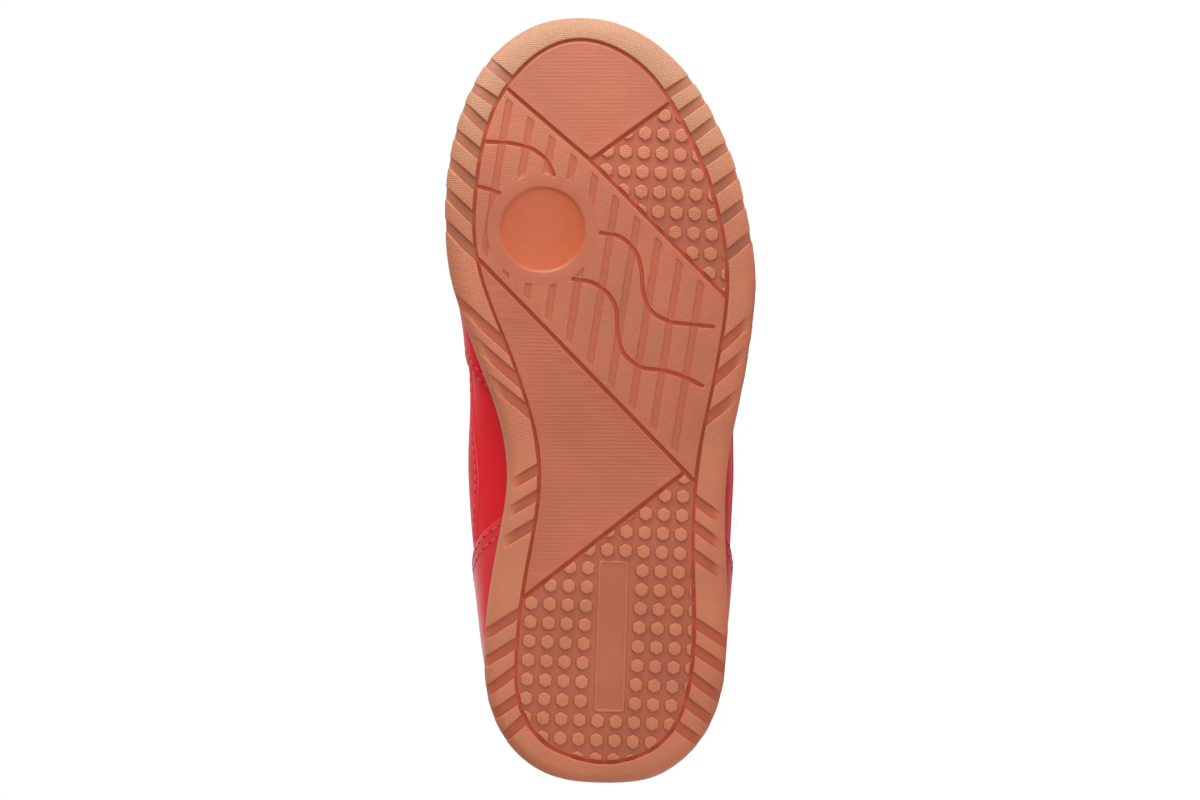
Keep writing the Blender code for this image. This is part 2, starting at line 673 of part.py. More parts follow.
def overlay(piece):
    """Stitched overlay: the space between two offsets of the upper's outside, on the upper's own ribs."""
    first = turn_of(piece.lateral)
    last = FULL_TURN - turn_of(piece.medial)
    if piece.name == "heel_counter":
        first, last = last - FULL_TURN, first
    pitch = FULL_TURN / UPPER_COLUMNS
    from_rib = math.ceil((first + piece.lean) / pitch + 0.3)
    to_rib = (last - piece.lean) / pitch - 0.3
    between = pitch * np.arange(from_rib, to_rib)
    rows = [row for row in UPPER_ROWS if piece.low < row < piece.high]
    up = np.array([piece.low] + rows + [piece.high])
    lean = piece.lean * (up - piece.low) / (piece.high - piece.low)
    middle = np.repeat(between[:, None], len(up), 1)
    share = np.array([[0.0], [1 / 3], [2 / 3]])
    front = (1 - share) * (first + lean) + share * middle[0]
    back = (1 - share) * (last - lean) + share * middle[-1]
    angle = np.concatenate([front, middle, back[::-1]])
    up = np.broadcast_to(up, angle.shape)
    surface = upper_point(angle, up)
    normal = upper_normal(angle, up)
    return shell(surface + (CURVED_GAP + OVERLAY) * normal, surface + CURVED_GAP * normal, False)


def insole():
    """Foam board on the floor of the cup, inside the upper."""
    angle = np.linspace(0, FULL_TURN, 48, endpoint=False)
    line = inset(edge_line, angle, RIM_WIDTH + CUP_DRAFT + WALL + 2 * CURVED_GAP)
    spots = scattered((22.0, 210.0, 15.0), (-16.0, 17.0, 16.0), inset(edge_line, angle, 16.0))
    plan, triangles = fill_plan([line], spots)
    low = lifted(plan, cup_floor(plan[:, 0]) + GAP)
    high = lifted(plan, cup_floor(plan[:, 0]) + GAP + INSOLE_THICK)
    count = len(plan)
    faces = triangles[:, ::-1].tolist() + (triangles + count).tolist()
    for here in range(len(line)):
        after = (here + 1) % len(line)
        faces.append([here, after, count + after, count + here])
    return np.concatenate([low, high]), faces


def tongue_sections(across):
    """Top side of the tongue, from under the front of the throat to its free end above the lace."""
    sections = []
    for station in (214.0, 200.0, 184.0, 166.0, 150.0, 136.0, 124.0, 115.0):
        crown = TONGUE_CROWN * min(1.0, max(0.0, (190.0 - station) / 40.0))
        front = max(0.0, (station - 184.0) / 30.0)
        ends = []
        for angle in (turn_of(station), FULL_TURN - turn_of(station)):
            angle = np.array([angle])
            up = np.array([0.96 - 0.03 * front])
            under = upper_point(angle, up) - (WALL + 3 * GAP + front) * upper_normal(angle, up)
            ends.append(under[0])
        bow = crown * (1 - (2 * across - 1) ** 2)
        chord = ends[0] + across[:, None] * (ends[1] - ends[0])
        sections.append(chord + bow[:, None] * np.array([0.0, 0.0, 1.0]))
    climb = sections[-1] - sections[-2]
    climb = climb.mean(0) / np.linalg.norm(climb.mean(0))
    middle = sections[-1].mean(0)
    from_middle = sections[-1] - middle
    for reach, spread, curl in ((0.33, 0.84, 0.6), (0.7, 0.9, 2.8), (0.94, 0.86, 5.0), (1.0, 0.7, 5.8)):
        wide = middle + from_middle * np.array([1.0, spread, 1.0])
        sections.append(wide + reach * TONGUE_REACH * climb + np.array([0.0, 0.0, curl]))
    return np.stack(sections)


def tongue():
    """Padded tongue, thin where it is sewn under the vamp and thick at its free end."""
    top = tongue_sections(np.linspace(0, 1, 7))
    along = np.gradient(top, axis=0)
    side = np.gradient(top, axis=1)
    normal = np.cross(side, along)
    normal = normal / np.linalg.norm(normal, axis=-1, keepdims=True)
    normal = normal * np.sign(normal[..., 2:3])
    thick = np.interp(np.arange(len(top)), (0, 3, len(top) - 1), (1.6, TONGUE_THICK, TONGUE_THICK))
    taper = np.array([0.5, 0.9, 1, 1, 1, 0.9, 0.5])
    return shell(top, top - (thick[:, None] * taper)[..., None] * normal, False)


def lace_strips():
    """Flat strips of the lace, each from an eyelet on one side to the next eyelet on the other."""
    strips = []

    def along_edge(station, medial, lift):
        angle = turn_of(station)
        angle = np.full(2, FULL_TURN - angle if medial else angle)
        up = np.array([EYELET_UP - 0.02 * lift, 1.0])
        normal = upper_normal(angle, up)
        return upper_point(angle, up) + (LACE_CLEAR + lift) * normal, normal

    runs = [(EYELET_STATIONS[-1], EYELET_STATIONS[-1], True, 0.0)]
    for low, high in zip(EYELET_STATIONS[:0:-1], EYELET_STATIONS[-2::-1]):
        runs += [(low, high, True, 0.2), (low, high, False, 0.4)]
    for low, high, to_medial, lift in runs:
        first, first_normal = along_edge(low, not to_medial, lift)
        last, last_normal = along_edge(high, to_medial, lift)
        middle = (first[-1:] + last[-1:]) / 2
        path = np.concatenate([first, middle, last[::-1]])
        up = np.concatenate([first_normal, first_normal[-1:] + last_normal[-1:], last_normal[::-1]])
        tangent = np.gradient(path, axis=0)
        side = np.cross(tangent, up)
        side = side / np.linalg.norm(side, axis=1, keepdims=True)
        up = np.cross(side, tangent)
        up = up / np.linalg.norm(up, axis=1, keepdims=True) * LACE_THICK / 2
        side = side * LACE_WIDTH / 2
        top = np.stack([path + up - side, path + up + side], 1)
        base = np.stack([path - up - side, path - up + side], 1)
        strips.append(shell(top, base, False))
    return strips


def mesh_of(name, points, faces):
    """Mesh with its faces turned outward, smooth but for its sharp edges."""
    mesh = bpy.data.meshes.new(name)
    mesh.from_pydata(np.asarray(points).tolist(), [], faces)
    work = bmesh.new()
    work.from_mesh(mesh)
    bmesh.ops.recalc_face_normals(work, faces=work.faces)
    bmesh.ops.triangulate(work, faces=work.faces)
    work.to_mesh(mesh)
    work.free()
    mesh.shade_smooth()
    mesh.set_sharp_from_angle(angle=math.radians(35))
    return mesh


def material_of(name, colour, roughness):
    """Plain Principled material."""
    material = bpy.data.materials.new(name)
    material.use_nodes = True
    shader = material.node_tree.nodes["Principled BSDF"]
    shader.inputs["Base Color"].default_value = (*colour, 1.0)
    shader.inputs["Roughness"].default_value = roughness
    return material


def add_piece(name, points, faces, material, holder):
    """Named object of one piece, carried by the empty that lays the shoe down."""
    piece = bpy.data.objects.new(name, mesh_of(name, points, faces))
    piece.data.materials.append(material)
    piece.parent = holder
    bpy.context.scene.collection.objects.link(piece)
    return piece


def weight_of(mesh, density):
    """Weight of a closed mesh and its centre times that weight, in the mesh's own units."""
    corners = np.empty(len(mesh.vertices) * 3)
    mesh.vertices.foreach_get("co", corners)
    corners = corners.reshape(-1, 3)
    a, b, c = (corners[[face.vertices[k] for face in mesh.polygons]] for k in range(3))
    volume = np.einsum("ij,ij->i", a, np.cross(b, c)) / 6
    return density * volume.sum(), density * (volume[:, None] * (a + b + c) / 4).sum(0), corners


def lying_pose(weighed):
    """Pose on the lateral face of the shoe's hull that its weight falls in, toe along +X."""
    weights, moments, corners = zip(*weighed)
    centre = sum(moments) / sum(weights)
    corners = np.concatenate(corners)
    hull = bmesh.new()
    for corner in corners:
        hull.verts.new(corner)
    bmesh.ops.convex_hull(hull, input=hull.verts)
    down = None
    for face in hull.faces:
        normal = np.array(face.normal)
        a, b, c = (np.array(vertex.co) for vertex in face.verts)
        foot = centre + normal * float((a - centre) @ normal)
        sides = [float(np.cross(q - p, foot - p) @ normal) for p, q in ((a, b), (b, c), (c, a))]
        if normal[1] > 0.7 and min(sides) >= 0:
            down = normal
            break
    hull.free()
    up = -down
    toe = np.array([1.0, 0.0, 0.0]) - up[0] * up
    toe = toe / np.linalg.norm(toe)
    turn = np.stack([toe, np.cross(up, toe), up])
    placed = corners @ turn.T
    low = placed.min(0)
    high = placed.max(0)
    shift = -np.array([(low[0] + high[0]) / 2, (low[1] + high[1]) / 2, low[2]])
    return Matrix.Translation(Vector(shift * MM)) @ Matrix(turn.tolist()).to_4x4() @ Matrix.Scale(MM, 4)


def join_strips(base, strips, material, holder):
    """Lace as one solid: every strip united with the first."""
    for number, (points, faces) in enumerate(strips):
        cutter = add_piece(f"lace_strip_{number}", points, faces, material, holder)
        cutter.hide_render = True
        cutter.display_type = "WIRE"
        union = base.modifiers.new(f"strip_{number}", "BOOLEAN")
        union.operation = "UNION"
        union.solver = "EXACT"
        union.object = cutter


def main():
    for old in list(bpy.data.objects):
        bpy.data.objects.remove(old, do_unlink=True)
    holder = bpy.data.objects.new("shoe_on_its_side", None)
    bpy.context.scene.collection.objects.link(holder)
    gum = material_of("gum_rubber", (0.55, 0.18, 0.08), 0.6)
    leather = material_of("red_synthetic_leather", (0.55, 0.02, 0.03), 0.35)
    trim = material_of("red_overlay_leather", (0.5, 0.015, 0.025), 0.35)
    cloth = material_of("red_tongue_cloth", (0.4, 0.02, 0.03), 0.8)
    foam = material_of("insole_cloth", (0.12, 0.12, 0.13), 0.9)
    cord = material_of("red_lace", (0.5, 0.03, 0.04), 0.8)
    pieces = [
        (add_piece("outsole", *outsole(), gum, holder), SOLE_DENSITY),
        (add_piece("upper", *upper(), leather, holder), LEATHER_DENSITY),
        (add_piece("insole", *insole(), foam, holder), CLOTH_DENSITY),
        (add_piece("tongue", *tongue(), cloth, holder), CLOTH_DENSITY),
    ]
    for piece in (TOE_GUARD, HEEL_COUNTER, EYESTAY):
        pieces.append((add_piece(piece.name, *overlay(piece), trim, holder), LEATHER_DENSITY))
    first, *others = lace_strips()
    lace = add_piece("lace", *first, cord, holder)
    holder.matrix_world = lying_pose([weight_of(piece.data, density) for piece, density in pieces])
    join_strips(lace, others, cord, holder)


main()
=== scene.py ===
"""Visual model of a left indoor court shoe that lies on its lateral side and shows its tread.

Shapes are worked out in the shoe's own frame, in millimetres: x from the back of the heel to the toe,
y to the lateral side, z up from the ground it would stand on. One turn and shift then lays each
finished mesh on the floor, in metres, where the CAD pieces lie.
"""

import math
from collections import namedtuple

import bmesh
import bpy
import numpy as np
from bpy.props import FloatProperty, FloatVectorProperty, PointerProperty
from mathutils import Matrix, Vector
from mathutils.geometry import delaunay_2d_cdt


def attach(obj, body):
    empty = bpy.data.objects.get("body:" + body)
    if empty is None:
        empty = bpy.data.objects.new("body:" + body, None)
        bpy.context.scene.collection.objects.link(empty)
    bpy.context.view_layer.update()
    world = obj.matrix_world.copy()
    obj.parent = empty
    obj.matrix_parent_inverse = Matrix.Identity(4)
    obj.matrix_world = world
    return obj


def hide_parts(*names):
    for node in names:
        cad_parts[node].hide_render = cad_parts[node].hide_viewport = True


bl_info = {
    "name": "Indoor court shoe",
    "version": (1, 0, 0),
    "blender": (4, 5, 0),
    "location": "View3D > Sidebar > Shoe",
    "description": "Dresses the CAD frame of an indoor court shoe: gum sole, stitched upper, lace and stage",
    "category": "Object",
}

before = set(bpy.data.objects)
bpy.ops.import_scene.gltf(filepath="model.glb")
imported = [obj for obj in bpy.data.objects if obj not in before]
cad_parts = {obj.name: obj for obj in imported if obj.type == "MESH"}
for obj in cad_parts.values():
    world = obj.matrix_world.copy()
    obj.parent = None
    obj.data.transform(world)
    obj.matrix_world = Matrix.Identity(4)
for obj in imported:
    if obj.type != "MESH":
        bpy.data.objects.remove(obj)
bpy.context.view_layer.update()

MM = 0.001
FULL_TURN = 2 * math.pi


def table(fields, rows):
    """Rows of a table with named columns."""
    return [namedtuple("Row", fields)(*row) for row in rows]



# How the shoe lies: the floor's upward direction in the shoe's own frame, and the shift after the turn
FLOOR_UP = np.array([0.080921, -0.995597, 0.047303])
FLOOR_SHIFT = np.array([-111.777134, -36.715873, 32.852236])

# Sole, sizes of its body
SOLE_LENGTH = 225.0
RING_START = 5.6
RING_LENGTH = 214.1
TOE_SPRING = 8.0
SPRING_FROM = 165.0
ARCH_RISE = 0.8
ARCH_FROM = 62.0
ARCH_TO = 132.0
HEEL_BEVEL = 1.2
BEVEL_TO = 11.0
EDGE_RISE = 4.5
FLAT_SHARE = [(120.0, 0.55), (165.0, 0.46), (205.0, 0.3), (218.0, 0.12)]
# How far the rim's outer edge stands out past the solid's, by station: the toe and heel bumpers
BUMPERS = [(0.0, 0.95), (10.0, 0.9), (24.0, 0.6), (38.0, 0.0), (164.0, 0.0), (183.0, 0.55), (200.0, 1.1),
           (215.0, 1.2), (222.0, 1.55), (225.0, 1.95)]
WALL_LEAN = 1.0
RIM_WIDTH = 3.0
CUP_DRAFT = 0.6
HEEL_THICK = 11.5
BALL_THICK = 7.5
HEEL_TO = 55.0
BALL_FROM = 135.0

# Tread, places of its features
RIB_GAP = 2.9
WAIST_FROM = 58.0
WAIST_TO = 140.0
FLOOR_DEPTH = 0.9
STUD_FLATS = 4.1
STUD_LEFT = 0.04
STUD_TURN = 3.2
STUD_CUT = 0.05
STUD_ROWS = 12
BAR_WIDTH = 2.1
BAR_PITCH = 7.25
BAR_LEAN = 0.16
BAR_MIDDLE = (145.1, -0.75)
BAR_COUNT = (-5, 4)
BAR_DEPTH = 0.3
BAR_LAND = 1.7
LAND_TONE = 0.5
PIVOT_AT = (162.9, -18.1)
PIVOT_BAND = 16.5
PIVOT_DEPTH = 1.5
PLATE_AT = (42.8, 2.2)
PLATE_LENGTH = 45.0
PLATE_WIDTH = 9.2
PLATE_TURN = math.radians(1.8)
PLATE_CORNER = 1.2
PLATE_SUNK = 0.6
PLATE_BORDER = 0.9
PLATE_DIP = 0.2

# Upper, sizes
WALL = 2.2
NORMAL_STEP = 2e-3
COLLAR_PAD = 3.0
PAD_TO = 104.0
PAD_FADE = 16.0
PAD_FROM_UP = 0.45
PAD_SPAN_UP = 0.6
BULGE_SHARE = 0.3
SEAT_GAP = 0.2
SEAT_TIGHT = 0.3
OVERLAY_OUT = 1.5
OVERLAY_SUNK = 0.05
OVERLAY_ROOT = 0.3
TUCKED_BELOW = 0.5
TUCKED_UP = 0.03
TUCKED_OUT = 0.35
END_SWING = 0.03
SWING_UP = 0.45
INSOLE_THICK = 3.0
INSOLE_GAP = 0.3
INSOLE_SPOTS = ((14.0, 215.0, 6.0), (-36.0, 36.0, 6.0))
TONGUE_STATIONS = (214.0, 115.0)
TONGUE_ROWS = 44
TONGUE_THICK = 4.0
TONGUE_REACH = 18.0
TONGUE_CURL = 5.8
TONGUE_CROWN = 2.0
TONGUE_TUCK = 0.12
TONGUE_UNDER = 0.9
TONGUE_EDGE_UP = 0.96
# Where the tongue gets its arch and where it dips at the front, and the width of its free end
TONGUE_ARCH = (190.0, 40.0)
TONGUE_FRONT = (184.0, 30.0)
TONGUE_SPREAD = [(0, 1.0), (0.33, 0.88), (0.7, 0.9), (1.0, 0.88)]
# Where the tip and the corners of the free end get round, and the place and width of its seam
TONGUE_TIP = (0.88, 0.12)
TONGUE_CORNER = (0.74, 0.26)
TONGUE_SEAM = (0.72, 0.06)
# Collar roll and the groove under it: how far off the upper, place up the rib, width
COLLAR_ROLL = [(0.7, 0.94, 0.05), (-0.5, 0.84, 0.03)]

# Widest line of the sole and the groove ring inside it, as the plan shows them
SOLE_EDGE = table("station lateral medial", [
    (0.0, 0.9, 0.9), (0.6, 10.2, -9.0), (1.8, 14.7, -14.3), (5.3, 20.9, -21.3), (12.4, 28.0, -28.4),
    (24.2, 33.8, -33.8), (36.0, 36.1, -35.4), (53.7, 36.7, -34.3), (71.4, 36.0, -31.3),
    (89.0, 36.3, -28.8), (101.0, 37.9, -29.8), (112.7, 40.4, -32.9), (124.4, 42.6, -37.3),
    (136.2, 44.2, -41.7), (148.0, 45.0, -45.3), (159.8, 43.9, -46.9), (171.6, 41.4, -46.9),
    (183.4, 37.9, -45.4), (195.2, 32.5, -42.4), (207.0, 25.5, -37.4), (214.5, 19.0, -32.3),
    (220.0, 11.8, -25.8), (223.5, 3.9, -18.6), (225.0, -7.1, -7.1),
])
RING_LINE = table("station lateral medial", [
    (5.6, 0.6, 0.6), (7.7, 10.6, -10.4), (10.0, 15.0, -15.5), (13.6, 18.9, -19.8),
    (18.3, 22.0, -23.2), (24.2, 24.2, -25.3), (30.1, 25.5, -26.0), (41.9, 26.6, -25.6),
    (53.7, 26.6, -24.4), (65.5, 26.3, -22.4), (77.3, 26.4, -20.3), (89.1, 27.2, -19.2),
    (100.9, 28.9, -20.1), (112.7, 31.4, -23.2), (124.4, 33.7, -27.2), (136.2, 35.7, -31.9),
    (148.0, 36.5, -36.1), (159.8, 35.4, -38.3), (171.6, 32.8, -38.2), (183.4, 28.7, -36.8),
    (195.2, 23.0, -33.9), (203.0, 18.4, -30.4), (209.0, 13.9, -26.2), (214.0, 8.4, -21.3),
    (217.5, 2.4, -16.0), (219.7, -7.1, -7.1),
])

# Rib grooves of the rim: where each leaves the ring, where it meets the edge, and if it cuts the edge
LATERAL_GROOVES = table("ring_at edge_at cuts_edge", [
    (16.8, 12.0, 0.1), (23.6, 18.0, 0.1), (31.0, 24.6, 0.1), (39.2, 33.0, 0.1), (46.9, 40.6, 0.1),
    (67.2, 60.0, 0.0), (75.6, 68.4, 0.0), (83.2, 76.5, 0.0), (106.8, 115.2, 0.1),
    (118.6, 127.6, 0.1), (128.4, 137.0, 0.1), (155.0, 161.2, 0.3), (165.4, 171.0, 0.3),
    (174.2, 179.6, 0.3), (182.6, 187.6, 0.3), (189.8, 195.2, 0.3), (196.6, 201.6, 0.3),
    (203.0, 207.4, 0.3),
])
MEDIAL_GROOVES = table("ring_at edge_at cuts_edge", [
    (207.2, 212.6, 0.3), (200.6, 205.2, 0.3), (192.8, 199.2, 0.3), (185.0, 191.4, 0.3),
    (176.0, 183.0, 0.3), (166.0, 174.0, 0.3), (155.6, 164.4, 0.3), (128.6, 141.8, 0.1),
    (118.0, 131.0, 0.1), (109.0, 119.6, 0.0), (92.4, 86.6, 0.0), (84.6, 78.4, 0.0),
    (76.0, 69.4, 0.0), (49.8, 43.2, 0.1), (41.0, 35.0, 0.1), (32.8, 26.4, 0.1), (24.6, 19.6, 0.1),
    (18.6, 13.2, 0.1),
])

# Line grooves between the tread zones: each zone lies to the left of its directed lines
TOE_MEDIAL = (204.7, -28.6)
TOE_LATERAL = (200.8, 19.8)
TOE_POINT = (183.4, -4.1)
BALL_LATERAL = (142.7, 36.3)
BALL_MEDIAL = (154.8, -37.7)
WAIST_LATERAL = (88.8, 26.5)
HEEL_LATERAL = (90.7, 22.9)
HEEL_MEDIAL = (54.7, -23.3)
ZONES = {
    "toe": [(TOE_POINT, TOE_MEDIAL), (TOE_LATERAL, TOE_POINT)],
    "ball_studs": [(TOE_POINT, TOE_LATERAL), (BALL_LATERAL, TOE_POINT)],
    "bars": [(TOE_MEDIAL, TOE_POINT), (TOE_POINT, BALL_LATERAL), (WAIST_LATERAL, BALL_MEDIAL)],
    "waist": [(BALL_MEDIAL, WAIST_LATERAL), (HEEL_LATERAL, HEEL_MEDIAL)],
    "heel_studs": [(HEEL_MEDIAL, HEEL_LATERAL), (BALL_MEDIAL, WAIST_LATERAL)],
}
STUD_FIELDS = table("zone at across along", [
    ("ball_studs", (179.6, 16.8), (-0.3, 5.38), (-5.75, -0.38)),
    ("heel_studs", (50.7, 16.1), (-0.28, 5.36), (-5.61, -0.32)),
])

# Wave grooves over the bars, as plan points from the toe's side to the heel's
WAVES = [
    [(161.9, -0.9), (160.7, 4.7), (156.6, 9.1), (151.6, 10.9), (145.1, 11.5), (138.9, 13.9),
     (135.9, 18.9), (134.9, 25.4), (134.2, 32.1)],
    [(148.3, -9.1), (147.2, -3.5), (143.9, 1.2), (139.8, 3.5), (132.7, 4.0), (126.2, 5.9),
     (122.4, 10.6), (121.2, 18.0), (119.3, 23.9), (116.8, 28.9)],
    [(188.9, -35.6), (188.3, -27.1), (186.5, -20.9), (183.1, -16.8), (179.0, -14.9)],
    [(175.7, -38.2), (174.9, -34.4), (173.7, -31.0)],
]

# Upper, a row for each rib from the sole's rim up to the collar or throat: height of the rim, height
# of the widest point and how far it stands out, the end of the rib at the opening, and its fullness
RIB_FIELDS = ("station rim bulge out_lateral out_medial top_x top_z top_lateral top_medial "
              "full_lateral full_medial")
UPPER_RIBS = table(RIB_FIELDS, [
    (0.0, 23.0, 37.0, 2.0, 2.0, 10.5, 61.0, 0.5, 0.5, 0.50, 0.50),
    (3.0, 23.0, 37.0, 2.0, 2.0, 11.8, 60.7, 10.0, -9.0, 0.50, 0.50),
    (12.0, 23.0, 36.8, 2.2, 2.4, 16.5, 59.3, 18.8, -18.2, 0.50, 0.50),
    (26.0, 22.5, 36.4, 2.6, 3.2, 26.5, 55.8, 25.2, -24.8, 0.52, 0.52),
    (44.0, 21.5, 36.0, 3.4, 5.2, 42.0, 51.5, 28.8, -28.8, 0.55, 0.55),
    (62.0, 20.5, 35.5, 5.3, 9.6, 57.0, 49.8, 29.4, -29.6, 0.55, 0.55),
    (78.0, 19.8, 35.0, 6.5, 14.2, 70.5, 51.6, 27.8, -28.4, 0.55, 0.55),
    (92.0, 19.2, 34.0, 6.3, 15.8, 81.5, 56.4, 24.6, -25.4, 0.52, 0.55),
    (104.0, 18.8, 33.0, 4.4, 14.2, 90.0, 62.6, 20.6, -21.6, 0.48, 0.52),
    (114.0, 18.4, 32.0, 3.0, 11.0, 97.5, 67.8, 16.8, -18.0, 0.44, 0.48),
    (130.0, 18.0, 30.0, 1.8, 5.2, 109.5, 64.4, 13.2, -14.6, 0.40, 0.45),
    (150.0, 18.0, 28.0, 1.2, 1.8, 124.0, 59.2, 10.6, -12.4, 0.38, 0.44),
    (172.0, 18.4, 26.5, 0.8, 1.0, 137.0, 54.2, 7.8, -10.6, 0.40, 0.46),
    (195.0, 19.6, 26.5, 0.6, 0.8, 147.0, 50.4, 4.6, -8.2, 0.48, 0.52),
    (213.0, 21.2, 26.8, 0.5, 0.6, 151.3, 48.6, 1.4, -5.2, 0.56, 0.58),
    (225.0, 22.0, 27.0, 0.4, 0.4, 152.5, 48.0, -2.0, -2.0, 0.60, 0.60),
])

# Overlays on the upper: stations of their ends, how far these lean, and where they lie up the rib
Overlay = namedtuple("Overlay", "name lateral medial lean low high")
TOE_GUARD = Overlay("toe_guard", 128.0, 121.6, 0.105, 0.12, 0.54)
HEEL_COUNTER = Overlay("heel_counter", 72.0, 73.0, 0.35, 0.12, 0.66)
EYESTAY = Overlay("eyestay", 112.0, 112.0, 0.0, 0.78, 0.985)
EYELET_STATIONS = (117.0, 133.0, 150.0, 168.0, 188.0)
EYELET_UP = 0.87
EYELET_RING = 0.0006
LACE_SIDES = 16
LACE_ROWS = 64
LACE_BOWS = (0.3, 0.5, 0.7)
LACE_SMOOTH = 6

# Flex creases of the vamp: soft troughs along the ribs that lean, with a low ridge on either side
CREASE_LEAN = 5.0
CREASE_RIDGE = 0.45
RIDGE_AWAY = 1.7
RIDGE_SOFT = 0.6
CREASES = table("station medial low high depth width", [
    (152.0, False, 0.30, 0.80, 0.45, 3.2), (163.0, False, 0.36, 0.78, 0.60, 3.6),
    (176.0, False, 0.42, 0.76, 0.40, 3.4), (146.0, True, 0.28, 0.80, 0.45, 3.4),
    (158.0, True, 0.34, 0.78, 0.65, 3.8), (171.0, True, 0.40, 0.76, 0.45, 3.4),
    (92.0, True, 0.30, 0.70, 0.40, 5.0), (84.0, False, 0.32, 0.70, 0.35, 5.0),
])

# Rounded edge of moulded lugs and grooves: distance past a groove's half width, share of its depth
MOULDED_EDGE = table("out share", [
    (-0.14, 1.0), (0.02, 0.32), (0.14, 0.10), (0.30, 0.025), (0.50, 0.0),
])


def linear(code):
    """Linear colour of an sRGB hex code."""
    parts = [int(code[at:at + 2], 16) / 255 for at in (1, 3, 5)]
    return tuple(p / 12.92 if p <= 0.04045 else ((p + 0.055) / 1.055) ** 2.4 for p in parts)


# ---------------------------------------------------------------- values a user would change

def length(name, description, default, low, high):
    """Length in metres that a user would change."""
    return FloatProperty(name=name, description=description, default=default, min=low, max=high,
                         precision=5, unit="LENGTH")


def tint(name, description, default):
    """Colour that a user would change, in linear values."""
    return FloatVectorProperty(name=name, description=description, default=default, size=3,
                               min=0, max=1, subtype="COLOR")


class SoleSettings(bpy.types.PropertyGroup):
    """Sizes and colours of the moulded gum sole."""

    tread_depth: length(
        "Tread depth", "Depth of the grooves between the lugs", 0.00105, 0.0004, 0.003)
    line_width: length(
        "Line width", "Width of the thin grooves between the tread zones", 0.00095, 0.0005, 0.003)
    wave_width: length(
        "Wave width", "Width of the curved grooves over the bars", 0.00105, 0.0005, 0.003)
    wave_depth: length(
        "Wave depth", "Depth of the curved grooves over the bars", 0.0007, 0.0003, 0.002)
    ridge_pitch: length(
        "Ridge pitch", "Spacing of the fine ridges at toe and waist", 0.00116, 0.0008, 0.004)
    ridge_depth: length(
        "Ridge depth", "Depth of the fine ridges at toe and waist", 0.00009, 0.0, 0.0008)
    lug_colour: tint("Lug tops", "Colour of the gum rubber on the lugs", (0.365, 0.107, 0.047))
    # Painted sheen: a paler, less red tint round the toe stands for light glancing off it
    toe_sheen_colour: tint(
        "Toe lugs", "Paler colour of the gum rubber round the toe", (0.322, 0.125, 0.06))
    floor_colour: tint(
        "Groove floors", "Colour of the gum rubber on the groove floors", (0.3, 0.063, 0.024))
    # Painted shade and glow: a darker, redder colour in the thin line grooves
    line_shade_colour: tint(
        "Line grooves", "Colour of the gum rubber in the thin line grooves", (0.33, 0.031, 0.002))
    # Painted shade: a darker brown laid in the forefoot's rim grooves, where shade falls
    dirt_colour: tint(
        "Dirt", "Colour of dirty gum rubber in the forefoot's rim grooves", (0.2, 0.062, 0.024))
    bowl_colour: tint(
        "Pivot bowl", "Colour of the smooth gum rubber of the pivot bowl", (0.355, 0.054, 0.007))


class UpperSettings(bpy.types.PropertyGroup):
    """Sizes and colours of the stitched upper and what is on it."""

    panel_step: length(
        "Panel step", "Thickness of the quarter panel over the base layer", 0.00045, 0.0, 0.001)
    stitch_pitch: length("Stitch pitch", "Length of one stitch with its gap", 0.0029, 0.001, 0.006)
    thread_width: length("Thread width", "Thickness of the sewing thread", 0.0005, 0.0002, 0.0015)
    seam_inset: length(
        "Seam inset", "Distance of the first row of stitches from an edge", 0.0014, 0.0005, 0.005)
    row_gap: length("Row gap", "Distance between two rows of stitches", 0.002, 0.0008, 0.006)
    lace_width: length("Lace width", "Width of the flat lace", 0.0055, 0.002, 0.01)
    lace_thickness: length("Lace thickness", "Thickness of the flat lace", 0.0012, 0.0005, 0.003)
    eyelet_size: length("Eyelet size", "Diameter of the punched eyelets", 0.004, 0.002, 0.008)
    leather_colour: tint("Leather", "Colour of the upper's synthetic leather", (0.52, 0.007, 0.012))
    overlay_colour: tint(
        "Overlays", "Colour of the overlays' synthetic leather", (0.5, 0.007, 0.011))
    # Painted highlight: the panels' cut edges get a lighter colour, partly their own, partly caught light
    edge_highlight_colour: tint("Cut edges", "Colour of the cut edges of the panels", (0.6, 0.06, 0.08))
    thread_colour: tint("Thread", "Colour of the sewing thread", (0.54, 0.05, 0.06))
    lining_colour: tint("Lining", "Colour of the lining cloth and the insole", linear("#2B2B2E"))
    lace_colour: tint("Lace", "Colour of the lace and the tongue cloth", (0.4, 0.006, 0.01))


class StageSettings(bpy.types.PropertyGroup):
    """Camera and light."""

    camera_distance: length(
        "Camera distance", "Distance of the camera from the tread", 0.86, 0.2, 3.0)
    picture_width: length(
        "Picture width", "Width that the picture covers at the tread", 0.3539, 0.1, 2.0)
    table_glow: FloatProperty(
        name="Table glow", description="How bright the table shines from below",
        default=0.45, min=0.0, max=5.0)
    heel_side_light: FloatProperty(
        name="Heel side", description="Share of the white surround past the heel",
        default=0.2, min=0.0, max=1.0, subtype="FACTOR")
    key_power: FloatProperty(
        name="Key light", description="Power of the softbox on the toe's side",
        default=7.2, min=0.0, max=500.0, unit="POWER")
    fill_power: FloatProperty(
        name="Fill light", description="Power of the low strip light behind the camera",
        default=2.0, min=0.0, max=500.0, unit="POWER")


def settings(group):
    """One of the property groups of the scene."""
    return getattr(bpy.context.scene, group)


def in_mm(value):
    """Millimetres of a property in metres."""
    return value / MM


# ---------------------------------------------------------------- the shoe's own shape functions

def ease(t):
    """Share from 0 to 1 made smooth at both ends."""
    return t * t * (3 - 2 * t)


def passed(x, start, span):
    """Share of a span that x has passed: 0 before it, 1 after it."""
    return np.clip((x - start) / span, 0, 1)


def bell(x, middle, width):
    """Bell curve of height 1."""
    return np.exp(-(((x - middle) / width) ** 2))


